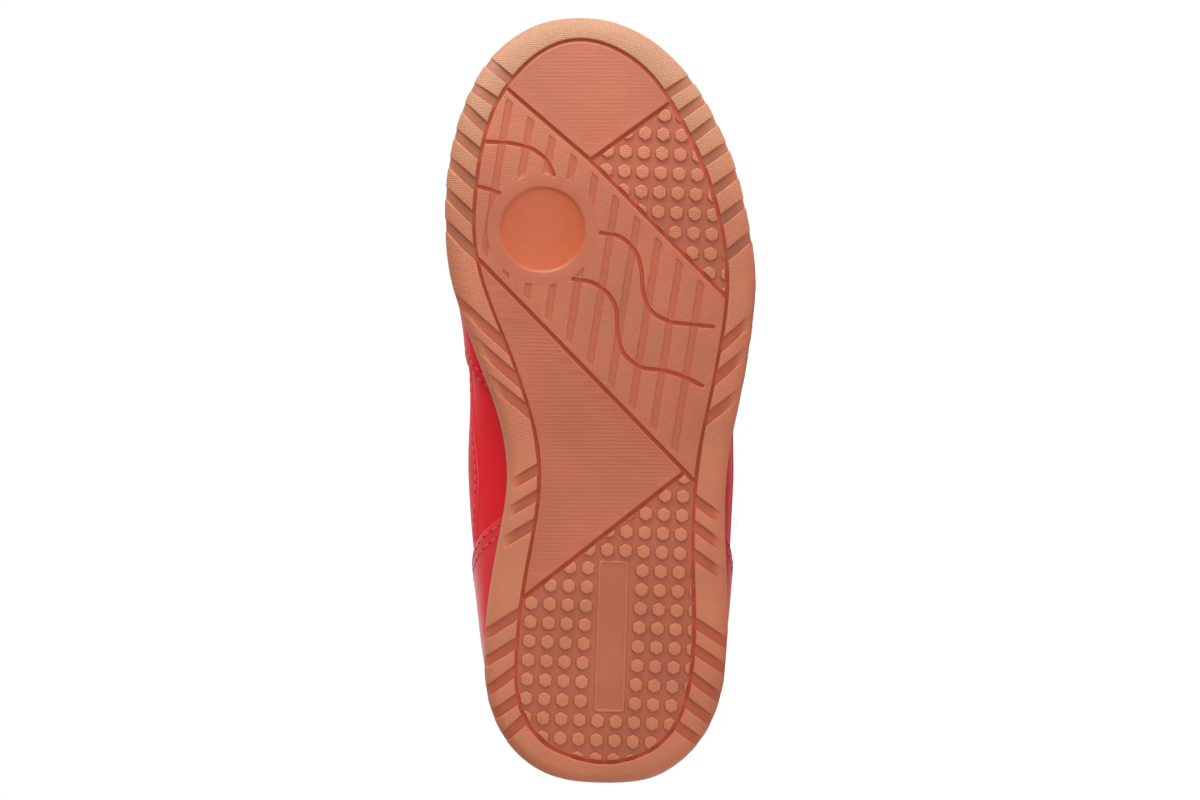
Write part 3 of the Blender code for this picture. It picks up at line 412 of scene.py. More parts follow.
def rounded(share):
    """Height of a quarter round at a share of the way out."""
    return np.sqrt(np.clip(1 - share ** 2, 0, 1))


def unit(ways):
    """Directions made one long."""
    return ways / np.linalg.norm(ways, axis=-1, keepdims=True)


def moved(points, distance, normal):
    """Points moved along their normals, each by its own distance."""
    return points + np.asarray(distance)[..., None] * normal


def steps(line):
    """Length of each step of a line of points."""
    return np.linalg.norm(np.diff(line, axis=0), axis=-1)


def paired(angle, up):
    """Two values, or arrays of them, brought to one shape."""
    return np.broadcast_arrays(np.asarray(angle, float), np.asarray(up, float))


def whole_turn(count):
    """Even angles round one turn."""
    return np.linspace(0, FULL_TURN, count, endpoint=False)


def on_circle(angle):
    """Plan directions of angles."""
    return np.stack([np.cos(angle), np.sin(angle)], -1)


def closed_spline(angles, values):
    """Smooth closed curve through values at rising angles, as a function of the angle."""
    angles = np.asarray(angles, float)
    values = np.asarray(values, float)
    count = len(angles)
    row = np.arange(count)
    step = np.diff(np.append(angles, angles[0] + FULL_TURN))
    slope = np.diff(np.append(values, values[0])) / step
    before = np.roll(step, 1)
    matrix = np.diag(2 * (before + step))
    matrix[row, row - 1] += step
    matrix[row, (row + 1) % count] += before
    pull = np.linalg.solve(matrix, 3 * (step * np.roll(slope, 1) + before * slope))

    def curve(angle):
        angle = angles[0] + np.mod(np.asarray(angle, float) - angles[0], FULL_TURN)
        here = np.clip(np.searchsorted(angles, angle, side="right") - 1, 0, count - 1)
        after = (here + 1) % count
        t = (angle - angles[here]) / step[here]
        soft = ease(t)
        bend = t * (1 - t) * step[here] * (pull[here] * (1 - t) - pull[after] * t)
        return values[here] * (1 - soft) + values[after] * soft + bend

    return curve


def turn_of(station, start=0.0, length=SOLE_LENGTH):
    """Angle that stands for a station: 0 at the back of the heel, half a turn at the toe."""
    return np.arccos(np.clip(1 - 2 * (np.asarray(station, float) - start) / length, -1, 1))


def turned(angle, medial):
    """Angle on the lateral side, or the one across from it on the medial side."""
    return np.where(medial, FULL_TURN - angle, angle)


def station_of(angle):
    """Station that an angle stands for."""
    return SOLE_LENGTH / 2 * (1 - np.cos(angle))


def round_trip(rows, lateral, medial, start=0.0, length=SOLE_LENGTH):
    """Closed curve of a table: the lateral column from heel to toe, then the medial one back."""
    knots = [(turn_of(row.station, start, length), getattr(row, lateral)) for row in rows]
    knots += [(FULL_TURN - turn_of(row.station, start, length), getattr(row, medial))
              for row in rows[-2:0:-1]]
    return closed_spline(*zip(*knots))


EDGE_Y = round_trip(SOLE_EDGE, "lateral", "medial")
RING_Y = round_trip(RING_LINE, "lateral", "medial", RING_START, RING_LENGTH)
RIM_Z = round_trip(UPPER_RIBS, "rim", "rim")
BULGE_Z = round_trip(UPPER_RIBS, "bulge", "bulge")
BULGE_OUT = round_trip(UPPER_RIBS, "out_lateral", "out_medial")
TOP_X = round_trip(UPPER_RIBS, "top_x", "top_x")
TOP_Y = round_trip(UPPER_RIBS, "top_lateral", "top_medial")
TOP_Z = round_trip(UPPER_RIBS, "top_z", "top_z")
FULLNESS = round_trip(UPPER_RIBS, "full_lateral", "full_medial")


def edge_line(angle):
    """Widest line of the sole in plan."""
    return np.stack([station_of(angle), EDGE_Y(angle)], -1)


def ring_line(angle):
    """Middle of the groove ring in plan."""
    return np.stack([RING_START + RING_LENGTH / 2 * (1 - np.cos(angle)), RING_Y(angle)], -1)


def travel(line, angle):
    """How a plan line moves for a small turn of the angle."""
    return (line(angle + 1e-4) - line(angle - 1e-4)) / 2e-4


def outward(line, angle):
    """Unit plan normal of a closed line, away from its inside."""
    along = unit(travel(line, angle))
    return np.stack([-along[..., 1], along[..., 0]], -1)


def crossing(line, angle, way):
    """How far a plan line moves across a direction for a turn of the angle."""
    along = travel(line, angle)
    return abs(along[0] * way[1] - along[1] * way[0]) / np.linalg.norm(way)


def inset(line, angle, distance):
    """Plan line moved in from a closed line by a distance."""
    return line(angle) - distance * outward(line, angle)


def ground(x):
    """Height of the tread plane: flat at heel and ball, with arch, toe spring and heel bevel."""
    arch = np.sin(math.pi * passed(x, ARCH_FROM, ARCH_TO - ARCH_FROM)) ** 2
    spring = passed(x, SPRING_FROM, SOLE_LENGTH - SPRING_FROM) ** 2
    bevel = passed(BEVEL_TO, x, BEVEL_TO) ** 2
    return ARCH_RISE * arch + TOE_SPRING * spring + HEEL_BEVEL * bevel


def cup_floor(x):
    """Height of the floor inside the cup sole, thick at the heel and thin at the ball."""
    fall = ease(passed(x, HEEL_TO, BALL_FROM - HEEL_TO))
    return ground(x) + HEEL_THICK + (BALL_THICK - HEEL_THICK) * fall


def lifted(plan, height):
    """Plan points given a height each."""
    return np.concatenate([plan, np.broadcast_to(height, plan.shape[:-1])[..., None]], -1)


def upper_point(angle, up):
    """Point of the upper's outside: up is 0 at the sole's rim, 1 at the opening, -1 in the cup."""
    angle, up = paired(angle, up)
    normal = outward(edge_line, angle)
    rim_z = RIM_Z(angle) + SEAT_GAP
    turn = passed(up, 0, BULGE_SHARE) * math.pi / 2
    plan = moved(edge_line(angle), -(RIM_WIDTH + SEAT_GAP), normal)
    plan = moved(plan, (BULGE_OUT(angle) - SEAT_TIGHT) * np.sin(turn), normal)
    height = rim_z + (BULGE_Z(angle) - rim_z) * (1 - np.cos(turn))
    rise = passed(up, BULGE_SHARE, 1 - BULGE_SHARE)
    top = np.stack([TOP_X(angle), TOP_Y(angle)], -1)
    plan = moved(plan, rise * rise, top - plan)
    curve = 2 * rise * (1 - rise) * FULLNESS(angle) + rise * rise
    height = height + curve * (TOP_Z(angle) - height)
    down = np.clip(-up, 0, 1)
    plan = moved(plan, -CUP_DRAFT * down, normal)
    height = height + down * (cup_floor(plan[..., 0]) + SEAT_GAP - rim_z)
    return lifted(plan, height)


def upper_normal(angle, up):
    """Outward unit normal of the upper's outside."""
    angle, up = paired(angle, up)
    high = np.minimum(up + NORMAL_STEP, 1)
    low = np.maximum(up - NORMAL_STEP, -1)
    along = upper_point(angle + NORMAL_STEP, up) - upper_point(angle - NORMAL_STEP, up)
    return unit(np.cross(upper_point(angle, high) - upper_point(angle, low), along))


def padding(angle, up):
    """Share of the collar's padding, full near the collar behind the throat."""
    padded = passed(PAD_TO, station_of(angle), PAD_FADE)
    return padded * np.sin(math.pi * passed(up, PAD_FROM_UP, PAD_SPAN_UP)) ** 2


# Lower edge of the quarter panel: station and height up the medial side, how much higher laterally
PANEL_LINE = [(50.0, 0.215), (70.6, 0.208), (81.0, 0.183), (89.0, 0.175), (99.0, 0.19),
              (107.0, 0.212), (119.0, 0.25), (135.0, 0.27)]
PANEL_LATERAL = 0.14
PANEL_ROW = 0.2
PANEL_EDGE = 0.004


def panel_low(angle):
    """Height up the rib of the quarter panel's lower edge."""
    low = np.interp(station_of(angle), *smooth_line(PANEL_LINE, 1.0).T)
    return low + PANEL_LATERAL * np.clip(0.5 + 2 * np.sin(angle), 0, 1)


def relief(angle, up):
    """How far the finished upper stands off its plain form: panel, creases and collar roll."""
    angle, up = paired(angle, up)
    station = station_of(angle)
    medial = np.mod(angle, FULL_TURN) > math.pi
    step = in_mm(settings("shoe_upper").panel_step)
    off = step * passed(up, panel_low(angle), PANEL_EDGE)
    for crease in CREASES:
        span = passed(up, crease.low, crease.high - crease.low)
        fade = np.sin(math.pi * span) ** 2 * (medial == crease.medial)
        away = (station - crease.station - CREASE_LEAN * (span - 0.5)) / crease.width
        ridges = CREASE_RIDGE * np.exp(-((np.abs(away) - RIDGE_AWAY) ** 2) / RIDGE_SOFT)
        off = off - crease.depth * fade * (np.exp(-away * away) - ridges)
    roll = passed(PAD_TO, station, PAD_FADE)
    for out, middle, width in COLLAR_ROLL:
        off = off + out * roll * bell(up, middle, width)
    return off


def upper_surface(angle, up, off=0.0):
    """Point of the finished upper's outside, and its normal, moved out by a distance."""
    normal = upper_normal(angle, up)
    return moved(upper_point(angle, up), relief(angle, up) + off, normal), normal


# ---------------------------------------------------------------- plan polygons of the tread

def clip(polygon, start, end, shift=0.0):
    """Part of a plan polygon left of a directed line that is moved left by a distance."""
    along = np.subtract(end, start) / np.linalg.norm(np.subtract(end, start))
    away = polygon - np.asarray(start)
    side = along[0] * away[:, 1] - along[1] * away[:, 0] - shift
    kept = []
    for here in range(len(polygon)):
        after = (here + 1) % len(polygon)
        if side[here] >= 0:
            kept.append(polygon[here])
        if side[here] * side[after] < 0:
            share = side[here] / (side[here] - side[after])
            kept.append(polygon[here] + share * (polygon[after] - polygon[here]))
    return np.array(kept).reshape(-1, 2)


def densified(loop, step):
    """Closed loop with points added so that none are further apart than a step."""
    points = []
    for a, b in zip(loop, np.roll(loop, -1, 0)):
        count = max(1, math.ceil(np.linalg.norm(b - a) / step))
        points.append(a + (b - a) * np.arange(count)[:, None] / count)
    return np.concatenate(points)


def zone_outline(zone, distance, count=300):
    """Outline of a tread zone, in from its line grooves and from the ring by a distance."""
    outline = inset(ring_line, whole_turn(count), distance)
    for start, end in ZONES[zone]:
        outline = clip(outline, start, end, distance)
    return outline


def area(polygon):
    """Area of a plan polygon."""
    ahead = np.roll(polygon, -1, 0)
    return 0.5 * abs(np.sum(polygon[:, 0] * ahead[:, 1] - polygon[:, 1] * ahead[:, 0]))


def inside(polygon, points):
    """Which plan points lie inside a polygon."""
    found = np.zeros(len(points), bool)
    for a, b in zip(polygon, np.roll(polygon, -1, 0)):
        if a[1] == b[1]:
            continue
        between = (a[1] > points[:, 1]) != (b[1] > points[:, 1])
        cross = a[0] + (points[:, 1] - a[1]) / (b[1] - a[1]) * (b[0] - a[0])
        found ^= between & (points[:, 0] < cross)
    return found


def in_zone(zone, points):
    """Which plan points lie in a tread zone."""
    return inside(zone_outline(zone, 0.0), points)


def from_line(points, line):
    """Distance of plan points from an open line of plan points."""
    best = np.full(len(points), np.inf)
    for a, b in zip(line[:-1], line[1:]):
        run = b - a
        share = np.clip((points - a) @ run / (run @ run), 0, 1)
        best = np.minimum(best, np.linalg.norm(points - a - share[:, None] * run, axis=1))
    return best


def smooth_line(knots, step=0.8):
    """Open plan curve through a few knots, with even short steps."""
    knots = np.asarray(knots, float)
    gaps = steps(knots)
    place = np.append(0, np.cumsum(gaps))
    slope = np.gradient(knots, place, axis=0)
    spots = np.linspace(0, place[-1], max(3, int(place[-1] / step)))
    here = np.clip(np.searchsorted(place, spots, side="right") - 1, 0, len(gaps) - 1)
    t = ((spots - place[here]) / gaps[here])[:, None]
    size = gaps[here][:, None]
    start = knots[here] * (1 + 2 * t) * (1 - t) ** 2 + slope[here] * size * t * (1 - t) ** 2
    end = knots[here + 1] * t * t * (3 - 2 * t) + slope[here + 1] * size * t * t * (t - 1)
    return start + end


def ribbon_outline(line, half):
    """Closed outline at a distance round an open line, with round ends."""
    along = unit(np.gradient(line, axis=0))
    left = np.stack([-along[:, 1], along[:, 0]], 1)
    turn = np.linspace(-math.pi / 2, math.pi / 2, 7)[1:-1, None]
    front = line[-1] + half * (np.cos(turn) * along[-1] + np.sin(turn) * left[-1])
    back = line[0] - half * (np.cos(turn) * along[0] + np.sin(turn) * left[0])
    return np.concatenate([line - half * left, front, (line + half * left)[::-1], back])


PLATE_ALONG = np.array([math.cos(PLATE_TURN), math.sin(PLATE_TURN)])
PLATE_ACROSS = np.array([-PLATE_ALONG[1], PLATE_ALONG[0]])
PLATE_CORE = np.array([PLATE_LENGTH / 2 - PLATE_CORNER, PLATE_WIDTH / 2 - PLATE_CORNER])


def plate_outline(grow=0.0):
    """Rounded rectangle of the bare heel plate."""
    turn = np.linspace(0, math.pi / 2, 5)
    points = []
    for quarter, side in enumerate(((1, 1), (-1, 1), (-1, -1), (1, -1))):
        corner = on_circle(turn + quarter * math.pi / 2)
        points.append(PLATE_CORE * side + (PLATE_CORNER + grow) * corner)
    points = np.concatenate(points)
    return np.asarray(PLATE_AT) + points[:, :1] * PLATE_ALONG + points[:, 1:] * PLATE_ACROSS


def inside_plate(points):
    """How far plan points lie inside the edge of the heel plate."""
    off = points - np.asarray(PLATE_AT)
    past = np.abs(np.stack([off @ PLATE_ALONG, off @ PLATE_ACROSS], -1)) - PLATE_CORE
    return PLATE_CORNER - np.linalg.norm(np.maximum(past, 0), axis=1) - np.minimum(past.max(1), 0)


STUD_CORNERS = on_circle(np.radians(np.arange(0, 360, 60) + STUD_TURN))
STUD_SIDES = (STUD_CORNERS + np.roll(STUD_CORNERS, -1, 0)) / math.sqrt(3)
STUD_RADIUS = STUD_FLATS / math.sqrt(3)
STUD_BLUNT = 0.12


def stud_hexagon(shrink):
    """Hexagon with blunt corners about the origin, smaller by a distance all round."""
    corners = (STUD_RADIUS - shrink * 2 / math.sqrt(3)) * STUD_CORNERS
    side = STUD_BLUNT * (np.roll(corners, -1, 0) - corners)
    return np.stack([corners + side, np.roll(corners, -1, 0) - side], 1).reshape(-1, 2)


def inside_stud(off):
    """How far points lie inside the foot of a stud, from their place about its middle."""
    sides = STUD_FLATS / 2 - (off @ STUD_SIDES.T).max(1)
    corners = (1 - STUD_BLUNT / 2) * STUD_RADIUS - (off @ STUD_CORNERS.T).max(1)
    return np.minimum(sides, corners)


def cut_stud(zone, middle, shrink):
    """Plan outline of a stud, cut off where its zone ends."""
    hexagon = stud_hexagon(shrink) + middle
    if inside(zone, hexagon).all():
        return hexagon
    left = zone
    for start, end in zip(hexagon, np.roll(hexagon, -1, 0)):
        left = clip(left, start, end)
        if len(left) < 3:
            break
    return left


def stud_kept(field, half):
    """Which studs of a field keep enough of their foot inside the zone and off the plate."""
    count = 2 * STUD_ROWS + 1
    kept = np.zeros((count, count), bool)
    zone = zone_outline(field.zone, half + STUD_CUT)
    least = STUD_LEFT * area(stud_hexagon(0.0))
    for row in range(count):
        for column in range(count):
            middle = stud_middle(field, row - STUD_ROWS, column - STUD_ROWS)
            if inside_plate(middle[None])[0] < -STUD_FLATS * 0.5:
                left = cut_stud(zone, middle, 0.0)
                kept[row, column] = len(left) > 2 and area(left) > least
    return kept


def stud_middle(field, row, column):
    """Middle of a stud, or of many, from its place in the field."""
    row = np.asarray(row)[..., None]
    column = np.asarray(column)[..., None]
    return np.asarray(field.at) + row * np.asarray(field.along) + column * np.asarray(field.across)


def stud_floor(field, kept, points, out):
    """Share of the floor between the studs at plan points: 1 on the floor, 0 on a stud's top."""
    grid = np.linalg.inv(np.stack([field.along, field.across], 1))
    place = np.round((points - np.asarray(field.at)) @ grid.T).astype(int)
    off = points - stud_middle(field, place[:, 0], place[:, 1])
    place = np.clip(place, -STUD_ROWS, STUD_ROWS) + STUD_ROWS
    within = np.minimum(inside_stud(off), out - STUD_CUT)
    return np.where(kept[place[:, 0], place[:, 1]], moulded(within + MOULDED_EDGE[0].out), 1.0)


BAR_ALONG = np.array([1.0, BAR_LEAN]) / math.hypot(1, BAR_LEAN)
BAR_ACROSS = np.array([-BAR_ALONG[1], BAR_ALONG[0]])


def bar_outlines(grow, half):
    """Plan outlines of the leaning bars sunk in the middle zone."""
    zone = zone_outline("bars", half + BAR_LAND - grow)
    side = (BAR_WIDTH / 2 + grow) * BAR_ACROSS
    bars = []
    for number in range(BAR_COUNT[0], BAR_COUNT[1] + 1):
        middle = np.add(BAR_MIDDLE, (0, BAR_PITCH * number))
        bar = clip(zone, middle - side, middle - side + BAR_ALONG)
        bar = clip(bar, middle + side, middle + side - BAR_ALONG)
        if len(bar) > 2:
            bars.append(densified(bar, 2.5))
    return bars


def bar_floor(points, out):
    """Share of the bars' depth at plan points, none inside the pivot's flat band."""
    off = points - np.asarray(BAR_MIDDLE)
    pitch = BAR_PITCH * BAR_ACROSS[1]
    away = off @ BAR_ACROSS / pitch
    number = np.clip(np.round(away), *BAR_COUNT)
    side = BAR_WIDTH / 2 - np.abs(away - number) * pitch
    band = np.linalg.norm(points - np.asarray(PIVOT_AT), axis=1) - PIVOT_BAND
    return moulded(-np.minimum(np.minimum(side, out - BAR_LAND), band))


def moulded(out):
    """Share of a groove's depth at a distance past its half width."""
    return np.interp(out, [row.out for row in MOULDED_EDGE], [row.share for row in MOULDED_EDGE])


def circle(middle, radius, count=72):
    """Plan circle as a polygon."""
    return np.asarray(middle) + radius * on_circle(whole_turn(count))


def scattered(x_range, y_range, polygon):
    """Plan points of a grid, from start, stop and step each way, that lie inside a polygon."""
    across, along = np.meshgrid(np.arange(*y_range), np.arange(*x_range))
    points = np.stack([along.ravel(), across.ravel()], -1)
    return points[inside(polygon, points)]


def ridge_lines(zone, half, pitch):
    """Crests, flanks and valleys of the fine cross ridges of a zone, as open lines."""
    outline = zone_outline(zone, half + MOULDED_EDGE[-1].out + 0.1)
    ahead = np.roll(outline, -1, 0)
    first = math.ceil(4 * outline[:, 0].min() / pitch)
    last = math.floor(4 * outline[:, 0].max() / pitch)
    lines = []
    for x in np.arange(first, last + 1) * pitch / 4:
        crossed = (outline[:, 0] > x) != (ahead[:, 0] > x)
        share = (x - outline[crossed, 0]) / (ahead[crossed, 0] - outline[crossed, 0])
        ends = np.sort(outline[crossed, 1] + share * (ahead[crossed, 1] - outline[crossed, 1]))
        if len(ends) == 2 and ends[1] - ends[0] > 0.6:
            y = np.linspace(ends[0], ends[1], max(2, int((ends[1] - ends[0]) / 5) + 1))
            lines.append(np.stack([np.full(len(y), x), y], -1))
    return lines


def fill_plan(loops, lines, spots):
    """Triangles of the plan inside the first loop, keeping loops and open lines as edges.

    Gives the points, the number of each one's input point or -1 where lines cross, and the faces.
    """
    points = np.concatenate(list(loops) + list(lines) + [spots])
    edges = []
    start = 0
    for number, line in enumerate(list(loops) + list(lines)):
        ids = np.arange(start, start + len(line))
        pairs = list(zip(ids.tolist(), np.roll(ids, -1).tolist()))
        edges += pairs if number < len(loops) else pairs[:-1]
        start += len(line)
    flat = [Vector((float(x), float(y))) for x, y in points]
    found, _, faces, origins, _, _ = delaunay_2d_cdt(flat, edges, [], 0, 1e-5)
    found = np.array([(v.x, v.y) for v in found])
    source = np.array([ids[0] if ids else -1 for ids in origins])
    faces = np.array([list(face) for face in faces])
    return found, source, faces[inside(loops[0], found[faces].mean(1))]


def capped(grid, level, total, ranges, border):
    """Plan points spread inside one row of a closed grid, and the triangles that close the row.

    The row's points keep their numbers in the grid, and the spread ones are counted from a total.
    """
    columns, levels = grid.shape[:2]
    line = grid[:, level, :2]
    spots = scattered(*ranges, line)
    spots = spots[from_line(spots, np.append(line, line[:1], 0)) > border]
    _, source, triangles = fill_plan([line], [], spots)
    place = np.where(source < columns, source * levels + level % levels, total + source - columns)
    return spots, place[triangles].tolist()


# ---------------------------------------------------------------- meshes

TOE_ROW = unit(np.array([1.0, 0.0, 0.0]) - FLOOR_UP[0] * FLOOR_UP)
LAY_DOWN = np.stack([TOE_ROW, np.cross(FLOOR_UP, TOE_ROW), FLOOR_UP])


def on_floor(points):
    """Points of the shoe's own frame, in millimetres, laid on the floor in metres."""
    return (np.asarray(points) @ LAY_DOWN.T + FLOOR_SHIFT) * MM


def way_on_floor(direction):
    """Direction of the shoe's own frame, as it lies on the floor."""
    return np.asarray(direction) @ LAY_DOWN.T


def in_scene(name, data):
    """Object of some data, put in the scene."""
    made = bpy.data.objects.new(name, data)
    bpy.context.scene.collection.objects.link(made)
    return made


def make_piece(name, points, faces, materials, values=None, parts=None, sharp=60.0):
    """Object of one mesh, with named values for its points and material numbers for its faces."""
    mesh = bpy.data.meshes.new(name)
    mesh.from_pydata(on_floor(points).tolist(), [], [list(map(int, face)) for face in faces])
    for material in materials:
        mesh.materials.append(material)
    if parts is not None:
        mesh.polygons.foreach_set("material_index", np.asarray(parts, np.int32))
    for key, value in (values or {}).items():
        layer = mesh.attributes.new(key, "FLOAT", "POINT")
        layer.data.foreach_set("value", np.asarray(value, np.float32))
    work = bmesh.new()
    work.from_mesh(mesh)
    bmesh.ops.recalc_face_normals(work, faces=work.faces)
    work.to_mesh(mesh)
    work.free()
    mesh.shade_smooth()
    mesh.set_sharp_from_angle(angle=math.radians(sharp))
    return in_scene(name, mesh)


def seated(piece, slot, *nodes):
    """Lets a finished piece ride on the shoe and stand for CAD nodes, hiding them; slot is not used."""
    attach(piece, "root")
    if nodes:
        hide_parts(*nodes)
    return piece


def grid_faces(columns, rows, closed, start=0):
    """Quads of a grid of points, a column after another."""
    number = start + np.arange(columns * rows).reshape(columns, rows)
    if closed:
        number = np.concatenate([number, number[:1]])
    quads = np.stack([number[:-1, :-1], number[1:, :-1], number[1:, 1:], number[:-1, 1:]], -1)
    return quads.reshape(-1, 4)


def shell(outer, inner, closed):
    """Points, quads and part numbers of the solid between two grids: outside, inside, edges."""
    columns, rows = outer.shape[:2]
    points = np.concatenate([outer.reshape(-1, 3), inner.reshape(-1, 3)])
    count = columns * rows
    faces = [grid_faces(columns, rows, closed), grid_faces(columns, rows, closed, count)[:, ::-1]]
    parts = [np.zeros(len(faces[0]), int), np.ones(len(faces[1]), int)]
    number = np.arange(2 * count).reshape(2, columns, rows)
    borders = [(number[0, :, row], number[1, :, row]) for row in (0, -1)]
    if closed:
        borders = [tuple(np.append(side, side[0]) for side in pair) for pair in borders]
    else:
        borders += [(number[0, column], number[1, column]) for column in (0, -1)]
    for one, other in borders:
        faces.append(np.stack([one[:-1], one[1:], other[1:], other[:-1]], -1))
        parts.append(np.full(len(faces[-1]), 2))
    return points, np.concatenate(faces), np.concatenate(parts)


# ---------------------------------------------------------------- materials

def add_node(tree, kind, settings_of=None, inputs=None):
    """One node with its own settings, and its inputs set to values or linked from other sockets."""
    node = tree.nodes.new(kind)
    for key, value in (settings_of or {}).items():
        setattr(node, key, value)
    for key, value in (inputs or {}).items():
        if isinstance(value, bpy.types.NodeSocket):
            tree.links.new(value, node.inputs[key])
        else:
            node.inputs[key].default_value = value
    return node


def result(tree, kind, settings_of=None, inputs=None, output=0):
    """One output of a new node, the first unless another is named."""
    return add_node(tree, kind, settings_of, inputs).outputs[output]


def shaded(name, **constants):
    """Material with constant values on its shader, underscores in their names standing for spaces."""
    material = bpy.data.materials.new(name)
    material.use_nodes = True
    shader = material.node_tree.nodes["Principled BSDF"]
    for key, value in constants.items():
        shader.inputs[key.replace("_", " ")].default_value = value
    return material


def new_material(name, **constants):
    """Material, its tree and a socket with the shoe's own coordinates in millimetres."""
    material = shaded(name, **constants)
    tree = material.node_tree
    stand_up = Matrix(LAY_DOWN.T.tolist())
    own = result(tree, "ShaderNodeMapping", None, {
        "Vector": result(tree, "ShaderNodeTexCoord", output="Object"),
        "Location": -(stand_up @ Vector(FLOOR_SHIFT)),
        "Rotation": stand_up.to_euler("XYZ"),
        "Scale": (1 / MM, 1 / MM, 1 / MM),
    })
    return material, tree, own


def finished(material, height=None, strength=0.0, distance=0.0, **links):
    """Material with sockets linked to its shader, and a fine relief of a depth in metres."""
    tree = material.node_tree
    if height is not None:
        links["Normal"] = result(tree, "ShaderNodeBump", None, {
            "Height": height, "Strength": strength, "Distance": distance})
    for key, socket in links.items():
        tree.links.new(socket, tree.nodes["Principled BSDF"].inputs[key.replace("_", " ")])
    return material


def stored(tree, name):
    """Value stored on the mesh's points."""
    return result(tree, "ShaderNodeAttribute", {"attribute_name": name}, None, "Fac")


def sums(tree, kind, a, b=0.0, c=0.0):
    """Result of a sum of up to three values."""
    return result(tree, "ShaderNodeMath", {"operation": kind}, {0: a, 1: b, 2: c})


def mixed(tree, factor, a, b, blend="MIX"):
    """Colour between two others, or one times the other."""
    return result(tree, "ShaderNodeMix", {"data_type": "RGBA", "blend_type": blend},
                  {0: factor, 6: a, 7: b}, 2)


def ranged(tree, value, from_low, from_high, to_low, to_high):
    """Value brought from one range to another."""
    return result(tree, "ShaderNodeMapRange", None, {
        "Value": value, "From Min": from_low, "From Max": from_high,
        "To Min": to_low, "To Max": to_high})


def noise(tree, own, size, detail):
    """Soft noise with spots of a size in millimetres."""
    return result(tree, "ShaderNodeTexNoise", None, {
        "Vector": own, "Scale": 1 / size, "Detail": detail})


def clouded(tree, base, own, size, detail, low, high):
    """Colour a little darker and lighter in soft spots of a size in millimetres."""
    shade = ranged(tree, noise(tree, own, size, detail), 0.3, 0.7, low, high)
    return mixed(tree, 1.0, base, shade, "MULTIPLY")


def threads(tree, own, rotation, pitch):
    """Waves along three turned axes, with a pitch in millimetres each."""
    place = result(tree, "ShaderNodeMapping", None, {
        "Vector": own, "Rotation": rotation, "Scale": [FULL_TURN / size for size in pitch]})
    parts = add_node(tree, "ShaderNodeSeparateXYZ", None, {"Vector": place})
    return [sums(tree, "SINE", part) for part in parts.outputs]


def colour(value):
    """Colour with full opacity."""
    return (*value, 1.0)


def gum_rubber():
    """Moulded gum rubber: matte, a little uneven, warm in the grooves, with a woven mould texture."""
    sole = settings("shoe_sole")
    material, tree, own = new_material(
        "moulded_gum_rubber", IOR=1.52, Specular_IOR_Level=0.35, Subsurface_Weight=0.3,
        Subsurface_Radius=(1.0, 0.35, 0.15), Subsurface_Scale=0.0014)
    base = colour(sole.lug_colour)
    # Over the lug's own colour: painted sheen round the toe, painted shade and glow in the grooves
    for name, tone in (("toe", sole.toe_sheen_colour), ("sunk", sole.floor_colour),
                       ("line", sole.line_shade_colour), ("dirt", sole.dirt_colour),
                       ("bowl", sole.bowl_colour)):
        base = mixed(tree, stored(tree, name), base, colour(tone))
    base = clouded(tree, base, own, 22, 3.0, 0.93, 1.07)
    base = clouded(tree, base, own, 0.7, 2.0, 0.97, 1.03)
    rough = ranged(tree, stored(tree, "bowl"), 0.0, 1.0, 0.56, 0.4)

    # Woven texture of the mould, threads about 0.9 mm apart, crossing at a slant
    x, y, _ = threads(tree, own, (0.0, 0.0, math.radians(38)), (0.95, 0.85, FULL_TURN))
    knit = sums(tree, "MULTIPLY", sums(tree, "MULTIPLY", x, y), stored(tree, "texture"))
    base = mixed(tree, 1.0, base, sums(tree, "MULTIPLY_ADD", knit, 0.1, 1.0), "MULTIPLY")
    grain = sums(tree, "MULTIPLY", noise(tree, own, 0.7, 2.0), 0.5)
    return finished(material, sums(tree, "ADD", knit, grain), 0.6, 0.00012,
                    Base_Color=base, Roughness=rough)


def coated_leather(name, tone, coat=0.04):
    """Smooth synthetic leather with a gloss coat: clear highlights, a faint pebble grain."""
    material, tree, own = new_material(
        name, Roughness=0.45, Specular_IOR_Level=0.12, Coat_Weight=coat, Coat_Roughness=0.2)
    base = clouded(tree, colour(tone), own, 30, 2.0, 0.92, 1.06)
    # Lighter cut edge of the panel: partly its own colour, partly a painted highlight
    edge = colour(settings("shoe_upper").edge_highlight_colour)
    base = mixed(tree, stored(tree, "edge"), base, edge)
    # Pebbles about 0.7 mm across
    pebble = result(tree, "ShaderNodeTexVoronoi", {"feature": "SMOOTH_F1"}, {
        "Vector": own, "Scale": 1 / 0.7})
    height = sums(tree, "MULTIPLY_ADD", noise(tree, own, 4, 3.0), 3.0, pebble)
    return finished(material, height, 0.25, 0.00008, Base_Color=base)


def woven_cloth(name, tone, thread, shine):
    """Woven polyester: matte, soft at the edges, with its threads showing."""
    material, tree, own = new_material(
        name, Roughness=0.85, Sheen_Weight=shine, Sheen_Roughness=0.4)
    knit = sums(tree, "MULTIPLY_ADD",
                *threads(tree, own, (0.4, 0.3, math.radians(45)), (thread, thread, thread)))
    shade = ranged(tree, knit, -1.6, 1.6, 0.75, 1.1)
    base = mixed(tree, 1.0, colour(tone), shade, "MULTIPLY")
    return finished(material, knit, 0.5, 0.0001, Base_Color=base)


def plain_material(name, tone, roughness):
    """Even surface too small to show a pattern, such as thread or a punched hole."""
    material, tree, own = new_material(name, Roughness=roughness)
    return finished(material, Base_Color=clouded(tree, colour(tone), own, 0.4, 1.0, 0.85, 1.1))


# ---------------------------------------------------------------- outsole

